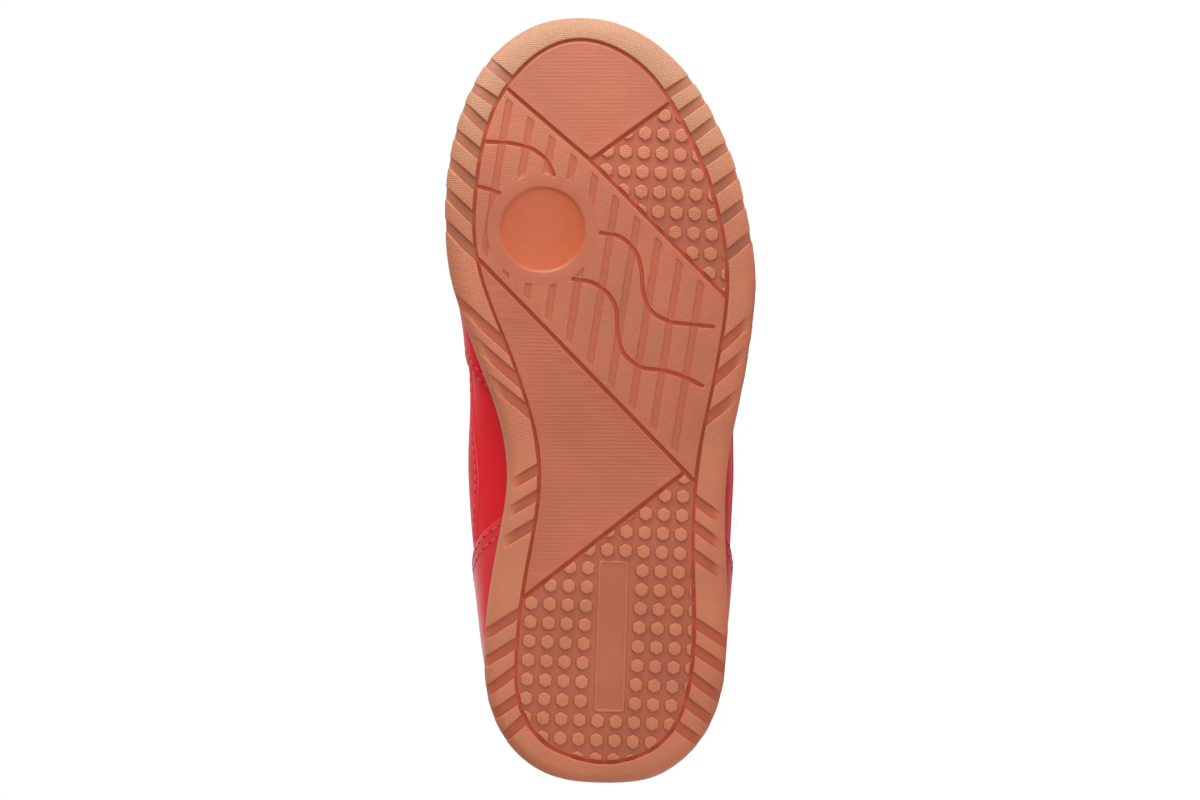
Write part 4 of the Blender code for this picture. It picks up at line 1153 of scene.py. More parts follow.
def rim_columns():
    """Ring angle, edge angle, groove share and cut of the edge for the columns round the rim."""
    half = [(RIB_GAP / 2 + row.out, row.share) for row in MOULDED_EDGE]
    profile = [(-out, share) for out, share in reversed(half)]
    profile += [(-RIB_GAP / 6, 1.0), (RIB_GAP / 6, 1.0)] + half
    marks = []
    for grooves, medial in ((LATERAL_GROOVES, False), (MEDIAL_GROOVES, True)):
        for groove in grooves:
            ring = turned(turn_of(groove.ring_at, RING_START, RING_LENGTH), medial)
            rim = turned(turn_of(groove.edge_at), medial)
            way = edge_line(rim) - ring_line(ring)
            ring_pace = crossing(ring_line, ring, way)
            rim_pace = crossing(edge_line, rim, way)
            marks += [(ring + away / ring_pace, rim + away / rim_pace, share, groove.cuts_edge)
                      for away, share in profile]
    columns = []
    for here, after in zip(marks, marks[1:] + [marks[0]]):
        columns.append(here)
        if here[2] or after[2]:
            continue
        lap = FULL_TURN if after is marks[0] else 0.0
        length = steps(edge_line(np.linspace(here[1], after[1] + lap, 50))).sum()
        extra = int(length // COLUMN_GAP)
        for share in np.arange(1, extra + 1) / (extra + 1):
            ring, rim = (here[k] + share * (after[k] + lap - here[k]) for k in (0, 1))
            columns.append((ring, rim, 0, 0.0))
    return np.array(columns, float).T


# Rows of the rim: on its flat land, round its edge, and up the side wall with a sunk moulding line
LAND_ROWS = (0.35, 0.7)
EDGE_BENDS = (0.0, 0.22, 0.42, 0.58, 0.72, 0.83, 0.91, 0.965, 1.0)
WALL_ROWS = [(0.05, 0.0), (0.14, 0.0), (0.26, 0.0), (0.4, 0.0), (0.54, 0.0), (0.66, 0.0),
             (0.715, 0.0), (0.735, 0.3), (0.75, 0.5), (0.79, 0.5), (0.805, 0.3), (0.825, 0.0),
             (0.9, 0.0), (0.955, 0.0)]
# Where the leaf-shaped grooves of the waist fade out across the rim, and how far up the wall ribs go
LEAF_FADE = (0.52, 0.36)
RIB_CLIMB = 0.5
# Rounded top of the rim: back from the wall's top, or from the rim's inner side, and drop
WALL_TOP = [(0.08, 0.25), (0.35, 0.06), (0.7, 0.0)]
INNER_TOP = [(-0.4, 0.0), (0.0, 0.3)]
COLUMN_GAP = 1.8


def rim_grid(depth, half):
    """Points of the rim from the ring's middle to the cup's floor, a column for each place.

    With them come the shares of line groove and groove floor, and the row where the wall starts.
    """
    ring_angle, edge_angle, groove, cuts = rim_columns()
    ring = ring_line(ring_angle)
    inner_edge = edge_line(edge_angle)
    normal = outward(edge_line, edge_angle)
    edge = inner_edge + np.interp(inner_edge[:, :1], *zip(*BUMPERS)) * normal
    span = np.linalg.norm(edge - ring, axis=1, keepdims=True)
    way = (edge - ring) / span
    flat = np.interp(edge[:, :1], *zip(*FLAT_SHARE))
    rows, lines, floors = [], [], []

    def add(plan, height, line=0.0, floor=0.0):
        rows.append(lifted(plan, height))
        lines.append(np.broadcast_to(line, groove.shape))
        floors.append(np.broadcast_to(floor, groove.shape))

    add(ring, ground(ring[:, 0]) + depth, 1.0)
    sunk = FLOOR_DEPTH * groove
    for bevel in MOULDED_EDGE:
        plan = ring + (half + bevel.out) * way
        deep = np.maximum(sunk, depth * bevel.share)
        add(plan, ground(plan[:, 0]) + deep, bevel.share, groove)
    start = half + MOULDED_EDGE[-1].out
    for share in LAND_ROWS:
        plan = ring + (start + share * (np.maximum(flat * span, start + 0.2) - start)) * way
        add(plan, ground(plan[:, 0]) + sunk, 0.0, groove)
    curved = np.maximum(flat, (start + 0.3) / span)
    leaf = (edge[:, 0] > WAIST_FROM) & (edge[:, 0] < WAIST_TO)
    for bend in EDGE_BENDS:
        upright = math.sqrt(1 - bend * bend)
        across = curved + (1 - curved) * bend
        plan = ring + across * (edge - ring)
        early = ease(passed(across[:, 0], *LEAF_FADE))
        fade = 1 + (cuts - 1) * np.where(leaf, early, bend * bend)
        height = ground(plan[:, 0]) + EDGE_RISE * (1 - upright) + sunk * fade * upright
        tone = np.where(leaf, fade, 1 - 0.5 * bend * bend)
        add(moved(plan, -sunk * fade * bend, normal), height, 0.0, groove * tone)
    wall_row = len(rows)
    rim = RIM_Z(edge_angle)
    foot = ground(edge[:, 0]) + EDGE_RISE
    for climb, moulding in WALL_ROWS:
        fade = cuts * max(0.0, 1 - climb / RIB_CLIMB) ** 1.5
        back = WALL_LEAN * climb + moulding + sunk * fade
        add(moved(edge, -back, normal), foot + climb * (rim - foot), 0.0, groove * fade)
    for line, start, top in ((edge, WALL_LEAN, WALL_TOP), (inner_edge, RIM_WIDTH, INNER_TOP)):
        for back, drop in top:
            add(line - (start + back) * normal, rim - drop)
    plan = inner_edge - (RIM_WIDTH + CUP_DRAFT) * normal
    add(plan, cup_floor(plan[:, 0]))
    return np.stack(rows, 1), np.stack(lines, 1), np.stack(floors, 1), wall_row


# Dish of the pivot: radius and share of its depth
PIVOT_DISH = [(0.0, 1.0), (3.0, 0.97), (5.0, 0.91), (7.0, 0.82), (9.0, 0.69), (10.5, 0.56),
              (11.5, 0.45), (12.1, 0.35), (12.4, 0.22), (12.65, 0.06), (13.0, 0.0)]
BOWL_EDGE = 12.6
BOWL_SOFT = 0.4

# Tones of the rubber, as shares of the groove floor's colour or of the lines': the ridged zones with
# the strength of their ridges, the painted shade in the ridges' valleys, the painted shade on the bars,
# the pivot's band, the heel plate and its dip, the painted shade and glow in the rim's grooves behind
# the forefoot and the painted shade in them in the forefoot, and how much paler the painted sheen
# makes the lines at the toe
RIDGED = {"toe": (0.83, 0.55), "waist": (0.77, 0.9)}
VALLEY_SHADE = 0.15
BAR_LINE_SHADE = 0.15
BAND_TONE = 0.8
PLATE_TONE = 0.5
DIP_TONE = 0.4
RIM_LINE_SHADE = 0.3
RIM_SHADE = 0.55
TOE_SHEEN_ON_LINES = 0.2
# Stations where the mould's texture gets weaker, where painted shade darkens the rim's grooves, and
# where the toe gets its paler tint painted as sheen
TEXTURE_FROM = 100
SHADE_FROM = (140, 12)
SHEEN_FROM = (162, 38)
RIDGE_TEXTURE = 0.15
WALL_TEXTURE = 0.3
# Points spread over the bars and the cup's floor: start, stop and step each way
BAR_SPOTS = ((108.0, 204.0, 5.0), (-36.0, 36.0, 5.0))
CUP_SPOTS = ((20.0, 215.0, 13.0), (-20.0, 21.0, 20.0))


def tread_lines(half, sole, kept):
    """Edge loops and open lines that the tread inside the ring needs, in plan."""
    loops = []
    for row in MOULDED_EDGE:
        shrink = row.out - MOULDED_EDGE[0].out
        loops += [densified(zone_outline(zone, half + row.out), 2.5) for zone in ZONES]
        loops += bar_outlines(row.out, half)
        loops += [densified(plate_outline(-by), 3.0) for by in (shrink, row.out + PLATE_BORDER)]
        loops.append(circle(PIVOT_AT, PIVOT_BAND - row.out, 96))
        for field in STUD_FIELDS:
            zone = zone_outline(field.zone, half + STUD_CUT + shrink)
            for place in np.argwhere(kept[field.zone]) - STUD_ROWS:
                stud = cut_stud(zone, stud_middle(field, *place), shrink)
                if len(stud) > 2 and area(stud) > 0.02:
                    loops.append(stud)
        wide = in_mm(sole.wave_width) / 2 + row.out
        loops += [ribbon_outline(smooth_line(wave), wide) for wave in WAVES]
    loops += [circle(PIVOT_AT, radius) for radius, _ in PIVOT_DISH[1:]]
    lines = []
    for zone in RIDGED:
        lines += ridge_lines(zone, half, in_mm(sole.ridge_pitch))
    return loops, lines


def mould_texture(x):
    """How much of the mould's woven texture shows, less at the heel."""
    return np.where(x > TEXTURE_FROM, 1.0, 0.5)


def tread_shape(points, sole, ring, kept):
    """Depth below the tread plane at plan points, and the shares that colour and texture use."""
    half = in_mm(sole.line_width) / 2
    grooves = [np.append(ring, ring[:1], 0)]
    for zone in ZONES.values():
        grooves += [np.array(pair) for pair in zone]
    out = np.minimum.reduce([from_line(points, groove) for groove in grooves]) - half
    line = moulded(out)
    sunk = in_mm(sole.tread_depth) * line
    for wave in WAVES:
        share = moulded(from_line(points, smooth_line(wave)) - in_mm(sole.wave_width) / 2)
        sunk = np.maximum(sunk, in_mm(sole.wave_depth) * share)
        line = np.maximum(line, share)
    floor = np.zeros(len(points))
    texture = mould_texture(points[:, 0])
    for field in STUD_FIELDS:
        here = in_zone(field.zone, points)
        floor[here] = stud_floor(field, kept[field.zone], points[here], out[here])
    sunk = np.maximum(sunk, FLOOR_DEPTH * floor)

    here = in_zone("bars", points)
    bars = bar_floor(points, out) * here
    sunk = np.maximum(sunk, BAR_DEPTH * bars)
    # Painted shade: the sunk bars take a little of the line grooves' darker colour
    line = np.maximum(line, BAR_LINE_SHADE * bars)
    floor = np.maximum(floor, (LAND_TONE + (1 - LAND_TONE) * bars) * here)
    for zone, (tone, strength) in RIDGED.items():
        here = in_zone(zone, points)
        turn = FULL_TURN * points[:, 0] / in_mm(sole.ridge_pitch)
        ridge = strength * (0.5 - 0.5 * np.cos(turn)) * passed(out, MOULDED_EDGE[-1].out, 0.2) * here
        sunk = np.maximum(sunk, in_mm(sole.ridge_depth) * ridge)
        # Painted shade: the ridges' valleys take more of the floor's darker colour
        floor = np.maximum(floor, (tone + VALLEY_SHADE * ridge) * here)
        texture = np.where(here, RIDGE_TEXTURE, texture)

    deep = inside_plate(points)
    rise = 1 - moulded(deep + MOULDED_EDGE[0].out)
    dip = 1 - moulded(deep - PLATE_BORDER)
    level = PLATE_SUNK + PLATE_DIP * dip
    sunk = np.where(deep > 0, FLOOR_DEPTH + (level - FLOOR_DEPTH) * rise, sunk)
    floor = np.where(deep > 0, 1 - rise * (PLATE_TONE - DIP_TONE * dip), floor)

    from_pivot = np.linalg.norm(points - np.asarray(PIVOT_AT), axis=1)
    sunk = np.maximum(sunk, PIVOT_DEPTH * np.interp(from_pivot, *zip(*PIVOT_DISH)))
    bowl = passed(BOWL_EDGE, from_pivot, BOWL_SOFT)
    floor = np.where(from_pivot < PIVOT_BAND, np.maximum(floor, BAND_TONE), floor)
    texture = texture * (from_pivot > PIVOT_BAND) * (deep < 0) * np.clip(1 - 6 * sunk, 0, 1)
    return sunk, line, floor, texture, bowl


def toe_sheen_share(x):
    """How much a place has of the paler tint painted round the toe as sheen."""
    return ease(passed(x, *SHEEN_FROM))


def build_outsole(sole):
    """Points, faces and values of the moulded cup sole."""
    half = in_mm(sole.line_width) / 2
    grid, grid_line, grid_floor, wall_row = rim_grid(in_mm(sole.tread_depth), half)
    columns, levels = grid.shape[:2]
    ring = grid[:, 0, :2]
    kept = {field.zone: stud_kept(field, half) for field in STUD_FIELDS}
    loops, lines = tread_lines(half, sole, kept)
    spots = scattered(*BAR_SPOTS, zone_outline("bars", 3.0))
    plan, source, triangles = fill_plan([ring] + loops, lines, spots)
    sunk, line, floor, texture, bowl = tread_shape(plan, sole, ring, kept)
    new = (source < 0) | (source >= columns)
    place = source * levels
    place[new] = columns * levels + np.arange(new.sum())
    cup_spots, cup_faces = capped(grid, -1, columns * levels + int(new.sum()), CUP_SPOTS, 5.0)
    points = [grid.reshape(-1, 3), lifted(plan, ground(plan[:, 0]) + sunk)[new],
              lifted(cup_spots, cup_floor(cup_spots[:, 0]))]
    faces = grid_faces(columns, levels, True).tolist() + place[triangles].tolist() + cup_faces

    x = grid[..., 0]
    grid_texture = np.clip(1 - 4 * np.maximum(grid_floor, grid_line), 0, 1) * mould_texture(x)
    grid_texture[:, wall_row:] = WALL_TEXTURE
    forefoot = passed(x, *SHADE_FROM)
    # Painted shade and glow: the rim's grooves behind the forefoot take some of the lines' colour
    grid_line = np.maximum(grid_line, RIM_LINE_SHADE * grid_floor * (1 - forefoot))
    # Painted sheen round the toe: a paler tint on the gum, and lines with less of their painted shade
    grid_sheen = toe_sheen_share(x)
    toe = toe_sheen_share(plan[:, 0]) * in_zone("toe", plan)
    shares = {
        "line": (grid_line * (1 - TOE_SHEEN_ON_LINES * grid_sheen), line * (1 - TOE_SHEEN_ON_LINES * toe)),
        "sunk": (grid_floor, floor),
        "toe": (grid_sheen, toe),
        "texture": (grid_texture, texture),
        "bowl": (0 * grid_line, bowl),
        # Painted shade in the rim's grooves of the forefoot
        "dirt": (RIM_SHADE * grid_floor * forefoot, 0 * line),
    }
    values = {name: np.concatenate([rim.ravel(), tread[new], np.zeros(len(cup_spots))])
              for name, (rim, tread) in shares.items()}
    return np.concatenate(points), faces, values


# ---------------------------------------------------------------- upper, overlays and what is inside

UPPER_COLUMNS = 300
LIP_SHARE = 0.35
LIP = (0.97, 0.03)
UPPER_ROWS = np.unique(np.round(np.concatenate([
    [-1.0, -0.5, -0.1],
    np.linspace(0, 1, 61),
    PANEL_ROW + PANEL_EDGE * np.array([-1.0, 0.0, 0.5, 1.0, 2.5]),
    [0.985, 0.993, 0.998],
]), 5))


def build_upper():
    """Hollow upper with its panel step, creases, collar roll and rounded top line."""
    angle = whole_turn(UPPER_COLUMNS)[:, None]
    near = np.interp(UPPER_ROWS, [0, PANEL_ROW - 0.02, PANEL_ROW + 0.02, 0.6], [0, 1, 1, 0])
    up = UPPER_ROWS + (panel_low(angle) - PANEL_ROW) * near
    outer, normal = upper_surface(angle, up)
    thick = WALL + COLLAR_PAD * padding(angle, up)
    lip = rounded(passed(up, *LIP))
    outer = moved(outer, -(1 - lip) * thick * LIP_SHARE, normal)
    inner = moved(upper_point(angle, up), -thick * (1 - LIP_SHARE * (1 - lip)), normal)
    inner[:, 0, 2] = outer[:, 0, 2]
    # Rows of the panel's cut edge, given a lighter colour: partly their own, partly a painted highlight
    cut = np.abs((up - panel_low(angle)) / PANEL_EDGE - 0.5) < 0.2
    return *shell(outer, inner, True), {"edge": np.concatenate([cut.ravel(), np.zeros(cut.size)])}


def overlay_place(piece, s, t):
    """Angle and height up the rib of a place on an overlay, from its lateral end and lower edge."""
    first = turn_of(piece.lateral)
    last = FULL_TURN - turn_of(piece.medial)
    if piece is HEEL_COUNTER:
        first, last = last - FULL_TURN, first
    lean = piece.lean * t
    if piece is TOE_GUARD:
        lean = lean - END_SWING * np.clip(1 - t / SWING_UP, 0, 2) ** 2
    return first + lean + s * (last - first - 2 * lean), piece.low + t * (piece.high - piece.low)


def overlay_foot(piece):
    """Height share where an overlay starts: its lower edge, or inside the cup for a tucked one."""
    tucked = piece.low < TUCKED_BELOW
    return (TUCKED_UP - piece.low) / (piece.high - piece.low) if tucked else 0.0


def overlay_out(up, piece):
    """How far an overlay stands off the upper, thinner where it is tucked into the cup."""
    if piece.low >= TUCKED_BELOW:
        return np.full_like(up, OVERLAY_OUT)
    tuck = ease(passed(up, TUCKED_UP, piece.low - TUCKED_UP))
    return TUCKED_OUT + (OVERLAY_OUT - TUCKED_OUT) * tuck


def overlay_spans(piece):
    """Length of an overlay along its middle, and its height at places along it."""
    s = np.linspace(0, 1, 60)

    def row(t):
        return upper_point(*overlay_place(piece, s, np.full(60, t)))

    height = steps([row(t) for t in np.linspace(overlay_foot(piece), 1, 9)]).sum(0)
    return steps(row(0.5)).sum(), lambda at: np.interp(at, s, height)


# Thinned edge of an overlay: distance from its border, share of its thickness
SKIVED = [(0.0, 0.0), (0.12, 0.5), (0.35, 0.8), (0.8, 0.97), (1.5, 1.0)]


def build_overlay(piece, columns):
    """Stitched overlay with skived, rounded edges, set into the upper's outside."""
    length, height = overlay_spans(piece)
    borders, shares = np.array(SKIVED).T
    ends = borders / length
    middle = np.linspace(ends[-1], 1 - ends[-1], columns)[1:-1]
    s = np.concatenate([ends, middle, (1 - ends)[::-1]])[:, None]
    tall = height(s)
    low = borders / tall
    middle = low[:, -1:] + np.linspace(0, 1, 26)[1:-1] * (1 - 2 * low[:, -1:])
    t = np.concatenate([low, middle, (1 - low)[:, ::-1]], 1)
    s = np.broadcast_to(s, t.shape)
    foot = overlay_foot(piece)
    angle, up = overlay_place(piece, s, foot + (1 - foot) * t)
    border = np.minimum(np.minimum(s, 1 - s) * length, np.minimum(t, 1 - t) * tall)
    out = overlay_out(up, piece) * np.interp(border, borders, shares) - OVERLAY_SUNK
    normal = upper_normal(angle, up)
    surface = upper_point(angle, up)
    return shell(moved(surface, out, normal), surface - OVERLAY_ROOT * normal, False)


def build_insole():
    """Foam board with a rolled edge on the floor of the cup."""
    angle = whole_turn(160)
    border = RIM_WIDTH + CUP_DRAFT + WALL + 0.6

    def laid(plan, share):
        return lifted(plan, cup_floor(plan[:, 0]) + INSOLE_GAP + INSOLE_THICK * share)

    rolled = ((0.0, 0.0), (0.0, 0.75), (0.3, 0.93), (1.0, 1.0), (5.0, 0.9))
    grid = np.stack([laid(inset(edge_line, angle, border + out), share) for out, share in rolled], 1)
    points = [grid.reshape(-1, 3)]
    faces = grid_faces(*grid.shape[:2], True).tolist()
    for level, share in ((-1, 0.82), (0, 0.0)):
        total = sum(len(part) for part in points)
        spots, cap = capped(grid, level, total, INSOLE_SPOTS, 2.5)
        points.append(laid(spots, share))
        faces += cap
    return np.concatenate(points), faces


def tongue_top(across):
    """Top side of the tongue, from under the front of the throat to its free end above the lace.

    With it comes how far out on the free end each row lies.
    """
    tucked = np.clip(1 - np.minimum(across, 1 - across) / TONGUE_TUCK, 0, 1)
    inner = passed(across, TONGUE_TUCK, 1 - 2 * TONGUE_TUCK)

    def arched(edge, share, crown):
        chord = edge[0] + share[:, None] * (edge[-1] - edge[0])
        chord[:, 2] += crown * (1 - (2 * share - 1) ** 2)
        return chord

    sections = []
    for station in np.linspace(*TONGUE_STATIONS, TONGUE_ROWS):
        crown = TONGUE_CROWN * passed(TONGUE_ARCH[0], station, TONGUE_ARCH[1])
        front = passed(station, *TONGUE_FRONT)
        turn = turned(turn_of(station), across > 0.5)

        def under(up):
            return upper_point(turn, up) - (WALL + TONGUE_UNDER + front) * upper_normal(turn, up)

        edge_up = np.full(len(across), TONGUE_EDGE_UP - 0.03 * front)
        edge = under(edge_up)
        sections.append(arched(edge, inner, crown) + under(edge_up - 0.08 * tucked) - edge)
    last = sections[-1]
    middle = last.mean(0)
    climb = unit(middle - sections[-5].mean(0))
    plain = arched(edge, across, crown)
    free = np.sin(np.linspace(0, math.pi / 2, 24))[1:]
    for reach in free:
        loose = ease(min(1.0, reach / 0.5))
        spread = np.interp(reach, *zip(*TONGUE_SPREAD))
        wide = ((1 - loose) * last + loose * plain - middle) * np.array([1.0, spread, 1.0])
        curl = np.array([0.0, 0.0, TONGUE_CURL * reach ** 1.8])
        sections.append(middle + wide + reach * TONGUE_REACH * climb + curl)
    return np.stack(sections), np.append(np.zeros(TONGUE_ROWS), free)


def build_tongue():
    """Padded tongue: quilted top side with round edges, thick at its free end."""
    across = (1 - np.cos(np.linspace(0, math.pi, 31))) / 2
    top, reach = tongue_top(across)
    normal = unit(np.cross(np.gradient(top, axis=1), np.gradient(top, axis=0)))
    normal = normal * np.sign(normal[..., 2].mean())
    place = np.linspace(0, 1, len(top))
    thick = np.interp(place, (0, 0.3, 1), (1.6, TONGUE_THICK, TONGUE_THICK))
    tip = rounded(passed(reach, *TONGUE_TIP)) * 0.9 + 0.1
    corner = 0.8 + 0.2 * rounded(passed(reach, *TONGUE_CORNER))
    off_middle = np.abs(2 * across - 1)
    full = (thick * tip)[:, None] * (rounded(off_middle ** 2) * 0.9 + 0.1)
    seam = 0.35 * bell(off_middle, *TONGUE_SEAM) * passed(place, 0.6, 0.1)[:, None]
    middle = top - (0.5 * thick)[:, None, None] * normal
    spine = middle.mean(1, keepdims=True)
    middle = spine + corner[:, None, None] * (middle - spine)
    return shell(moved(middle, 0.5 * full - seam, normal), moved(middle, -0.5 * full, normal), False)


def lace_runs(upper):
    """Middle lines and normals of the lace.

    Each run leaves an eyelet, crosses the tongue and dives under the other edge of the throat at the
    next eyelet. The first one lies straight across, and ends in an eyelet.
    """
    lift = in_mm(upper.lace_thickness) / 2
    top = OVERLAY_OUT + lift

    def beside(station, medial, places):
        up, off = np.array(places).T
        return upper_surface(np.full(len(up), turned(turn_of(station), medial)), up, off)

    # Places beside the throat, as heights up the rib and off the upper
    out = [(EYELET_UP - 0.004, -1.6), (EYELET_UP, 0.9), (EYELET_UP + 0.016, top + 0.2),
           (0.93, top + 0.3), (0.985, top + 0.2), (1.0, 1.0 + lift)]
    over = out[:2] + [(up, off + 0.9) for up, off in out[2:5]] + [(1.0, 2.2 + lift)]
    under = [(1.0, -0.6), (0.985, -WALL - 0.2), (0.93, -WALL - 0.4)]
    pairs = [(EYELET_STATIONS[-1], EYELET_STATIONS[-1], True, out, out, 1.2)]
    for low, high in zip(EYELET_STATIONS[:0:-1], EYELET_STATIONS[-2::-1]):
        pairs += [(low, high, True, out, under, 1.6), (low, high, False, over, under, 2.6)]
    runs = []
    for low, high, to_medial, start, end, bow in pairs:
        first, first_normal = beside(low, not to_medial, start)
        last, last_normal = beside(high, to_medial, end)
        rise = (first_normal[-1] + last_normal[0]) / 2
        if end is out:
            last, last_normal = last[::-1], last_normal[::-1]
        gap = last[0] - first[-1]
        bows = [first[-1] + gap * share + rise * bow * math.sin(math.pi * share)
                for share in LACE_BOWS]
        runs.append((np.concatenate([first, bows, last]),
                     np.concatenate([first_normal, [rise] * len(LACE_BOWS), last_normal])))
    return runs


def build_lace(upper):
    """Flat woven lace as swept strips with a lens-shaped section."""
    across, high = on_circle(whole_turn(LACE_SIDES)).T
    across = np.sign(across) * np.abs(across) ** 0.7 * in_mm(upper.lace_width) / 2
    high = np.sign(high) * np.abs(high) ** 0.8 * in_mm(upper.lace_thickness) / 2
    points, faces = [], []
    total = LACE_ROWS * LACE_SIDES
    order = np.arange(total).reshape(LACE_ROWS, LACE_SIDES).T.ravel()
    quads = order[grid_faces(LACE_SIDES, LACE_ROWS, True)]
    for path, ups in lace_runs(upper):
        gaps = np.append(0, np.cumsum(steps(path)))
        fine = np.linspace(0, gaps[-1], LACE_ROWS)
        line, up = (np.stack([np.interp(fine, gaps, column) for column in side.T], -1)
                    for side in (path, ups))
        for _ in range(LACE_SMOOTH):
            ends = np.concatenate([line[:1], line, line[-1:]])
            line = 0.25 * ends[:-2] + 0.5 * ends[1:-1] + 0.25 * ends[2:]
        tangent = np.gradient(line, axis=0)
        side = unit(np.cross(tangent, up))
        up = unit(np.cross(side, tangent))
        tube = line[:, None] + across[:, None] * side[:, None] + high[:, None] * up[:, None]
        start = total * len(points)
        points.append(tube.reshape(-1, 3))
        faces += (start + quads).tolist()
        faces.append((start + np.arange(LACE_SIDES)).tolist())
        faces.append((start + total - 1 - np.arange(LACE_SIDES)).tolist())
    return np.concatenate(points), faces


# ---------------------------------------------------------------- seams and eyelets by Geometry Nodes

# Points of a seam along an overlay and up its end, stations of the panel's seam, the collar's seam
SEAM_POINTS = 160
END_POINTS = 40
PANEL_SEAM = (70.0, 134.0, 80)
COLLAR_TO = 101.0
COLLAR_UP = 0.875
COLLAR_POINTS = 200
UP_STEP = 0.01

def seam_paths(upper):
    """Rows of stitches as lines on the finished upper, with the outward direction at their points."""
    first = in_mm(upper.seam_inset)
    paths = []

    def sewn(piece, s, t):
        angle, up = overlay_place(piece, s, t)
        normal = upper_normal(angle, up)
        out = overlay_out(up, piece) - OVERLAY_SUNK
        paths.append((moved(upper_point(angle, up), out, normal), normal))

    for piece in (TOE_GUARD, HEEL_COUNTER, EYESTAY):
        length, height = overlay_spans(piece)
        foot = overlay_foot(piece)
        for row in (first, first + in_mm(upper.row_gap)):
            s = np.linspace(row / length, 1 - row / length, SEAM_POINTS)
            if piece is not EYESTAY or row == first:
                sewn(piece, s, 1 - row * (1 - foot) / height(s))
            if piece is EYESTAY:
                sewn(piece, s, row / height(s))
                continue
            t = np.linspace(foot + 0.03, 1 - row * (1 - foot) / height(0.5), END_POINTS)
            for end in (s[0], s[-1]):
                sewn(piece, np.full(END_POINTS, end), t)
    for medial in (False, True):
        angle = turned(turn_of(np.linspace(*PANEL_SEAM)), medial)
        low = panel_low(angle)
        rise = upper_point(angle, low + UP_STEP) - upper_point(angle, low)
        paths.append(upper_surface(angle, low + first * UP_STEP / np.linalg.norm(rise, axis=1)))
    collar = np.linspace(-turn_of(COLLAR_TO), turn_of(COLLAR_TO), COLLAR_POINTS)
    paths.append(upper_surface(collar, np.full(COLLAR_POINTS, COLLAR_UP)))
    return paths


def store_ways(mesh, name, ways):
    """Directions of the shoe's own frame, stored on a mesh's points as they lie on the floor."""
    layer = mesh.attributes.new(name, "FLOAT_VECTOR", "POINT")
    layer.data.foreach_set("vector", way_on_floor(ways).astype(np.float32).ravel())


def path_mesh(name, paths):
    """Mesh of open lines with the outward direction stored on their points."""
    edges = []
    total = 0
    for line, _ in paths:
        edges += [(total + k, total + k + 1) for k in range(len(line) - 1)]
        total += len(line)
    points, outs = (np.concatenate(side) for side in zip(*paths))
    mesh = bpy.data.meshes.new(name)
    mesh.from_pydata(on_floor(points).tolist(), edges, [])
    store_ways(mesh, "out", outs)
    return mesh


def new_tree(name, sizes):
    """Geometry tree with a geometry input, named sizes and a material, and its inputs' sockets."""
    tree = bpy.data.node_groups.new(name, "GeometryNodeTree")
    sockets = [("Geometry", "INPUT", "Geometry")]
    sockets += [(size, "INPUT", "Float") for size in sizes]
    sockets += [("Material", "INPUT", "Material"), ("Geometry", "OUTPUT", "Geometry")]
    for label, way, kind in sockets:
        tree.interface.new_socket(label, in_out=way, socket_type="NodeSocket" + kind)
    return tree, add_node(tree, "NodeGroupInput").outputs


def stored_way(tree, name):
    """Direction stored on the points."""
    return result(tree, "GeometryNodeInputNamedAttribute", {"data_type": "FLOAT_VECTOR"}, {
        "Name": name})


def close_tree(tree, given, points, shape, tangent):
    """Copies of a shape on points, X along a direction and Z outward, realized, with the material."""
    align = "FunctionNodeAlignRotationToVector"
    turn = result(tree, align, {"axis": "X"}, {"Vector": tangent})
    turn = result(tree, align, {"axis": "Z", "pivot_axis": "X"}, {
        "Rotation": turn, "Vector": stored_way(tree, "out")})
    copies = result(tree, "GeometryNodeInstanceOnPoints", None, {
        "Points": points, "Instance": shape, "Rotation": turn})
    real = result(tree, "GeometryNodeRealizeInstances", None, {"Geometry": copies})
    smooth = result(tree, "GeometryNodeSetShadeSmooth", None, {"Geometry": real})
    dyed = result(tree, "GeometryNodeSetMaterial", None, {
        "Geometry": smooth, "Material": given["Material"]})
    add_node(tree, "NodeGroupOutput", None, {"Geometry": dyed})
    return tree


def stitch_tree():
    """Threads laid along lines: pitch, length and thickness of a stitch, and a shift along the line."""
    tree, given = new_tree("stitches_on_lines", ("Pitch", "Length", "Width", "Height", "Shift"))
    curve = result(tree, "GeometryNodeMeshToCurve", None, {"Mesh": given["Geometry"]})
    even = result(tree, "GeometryNodeResampleCurve", {"mode": "LENGTH"}, {
        "Curve": curve, "Length": given["Pitch"]})
    tangent = result(tree, "GeometryNodeInputTangent")
    slide = result(tree, "ShaderNodeVectorMath", {"operation": "SCALE"}, {
        "Vector": tangent, "Scale": given["Shift"]})
    spots = result(tree, "GeometryNodeSetPosition", None, {"Geometry": even, "Offset": slide})
    ball = result(tree, "GeometryNodeMeshUVSphere", None, {"Segments": 8, "Rings": 5, "Radius": 0.5})
    size = result(tree, "ShaderNodeCombineXYZ", None, {
        "X": given["Length"], "Y": given["Width"], "Z": given["Height"]})
    thread = result(tree, "GeometryNodeTransform", None, {"Geometry": ball, "Scale": size})
    return close_tree(tree, given, spots, thread, tangent)


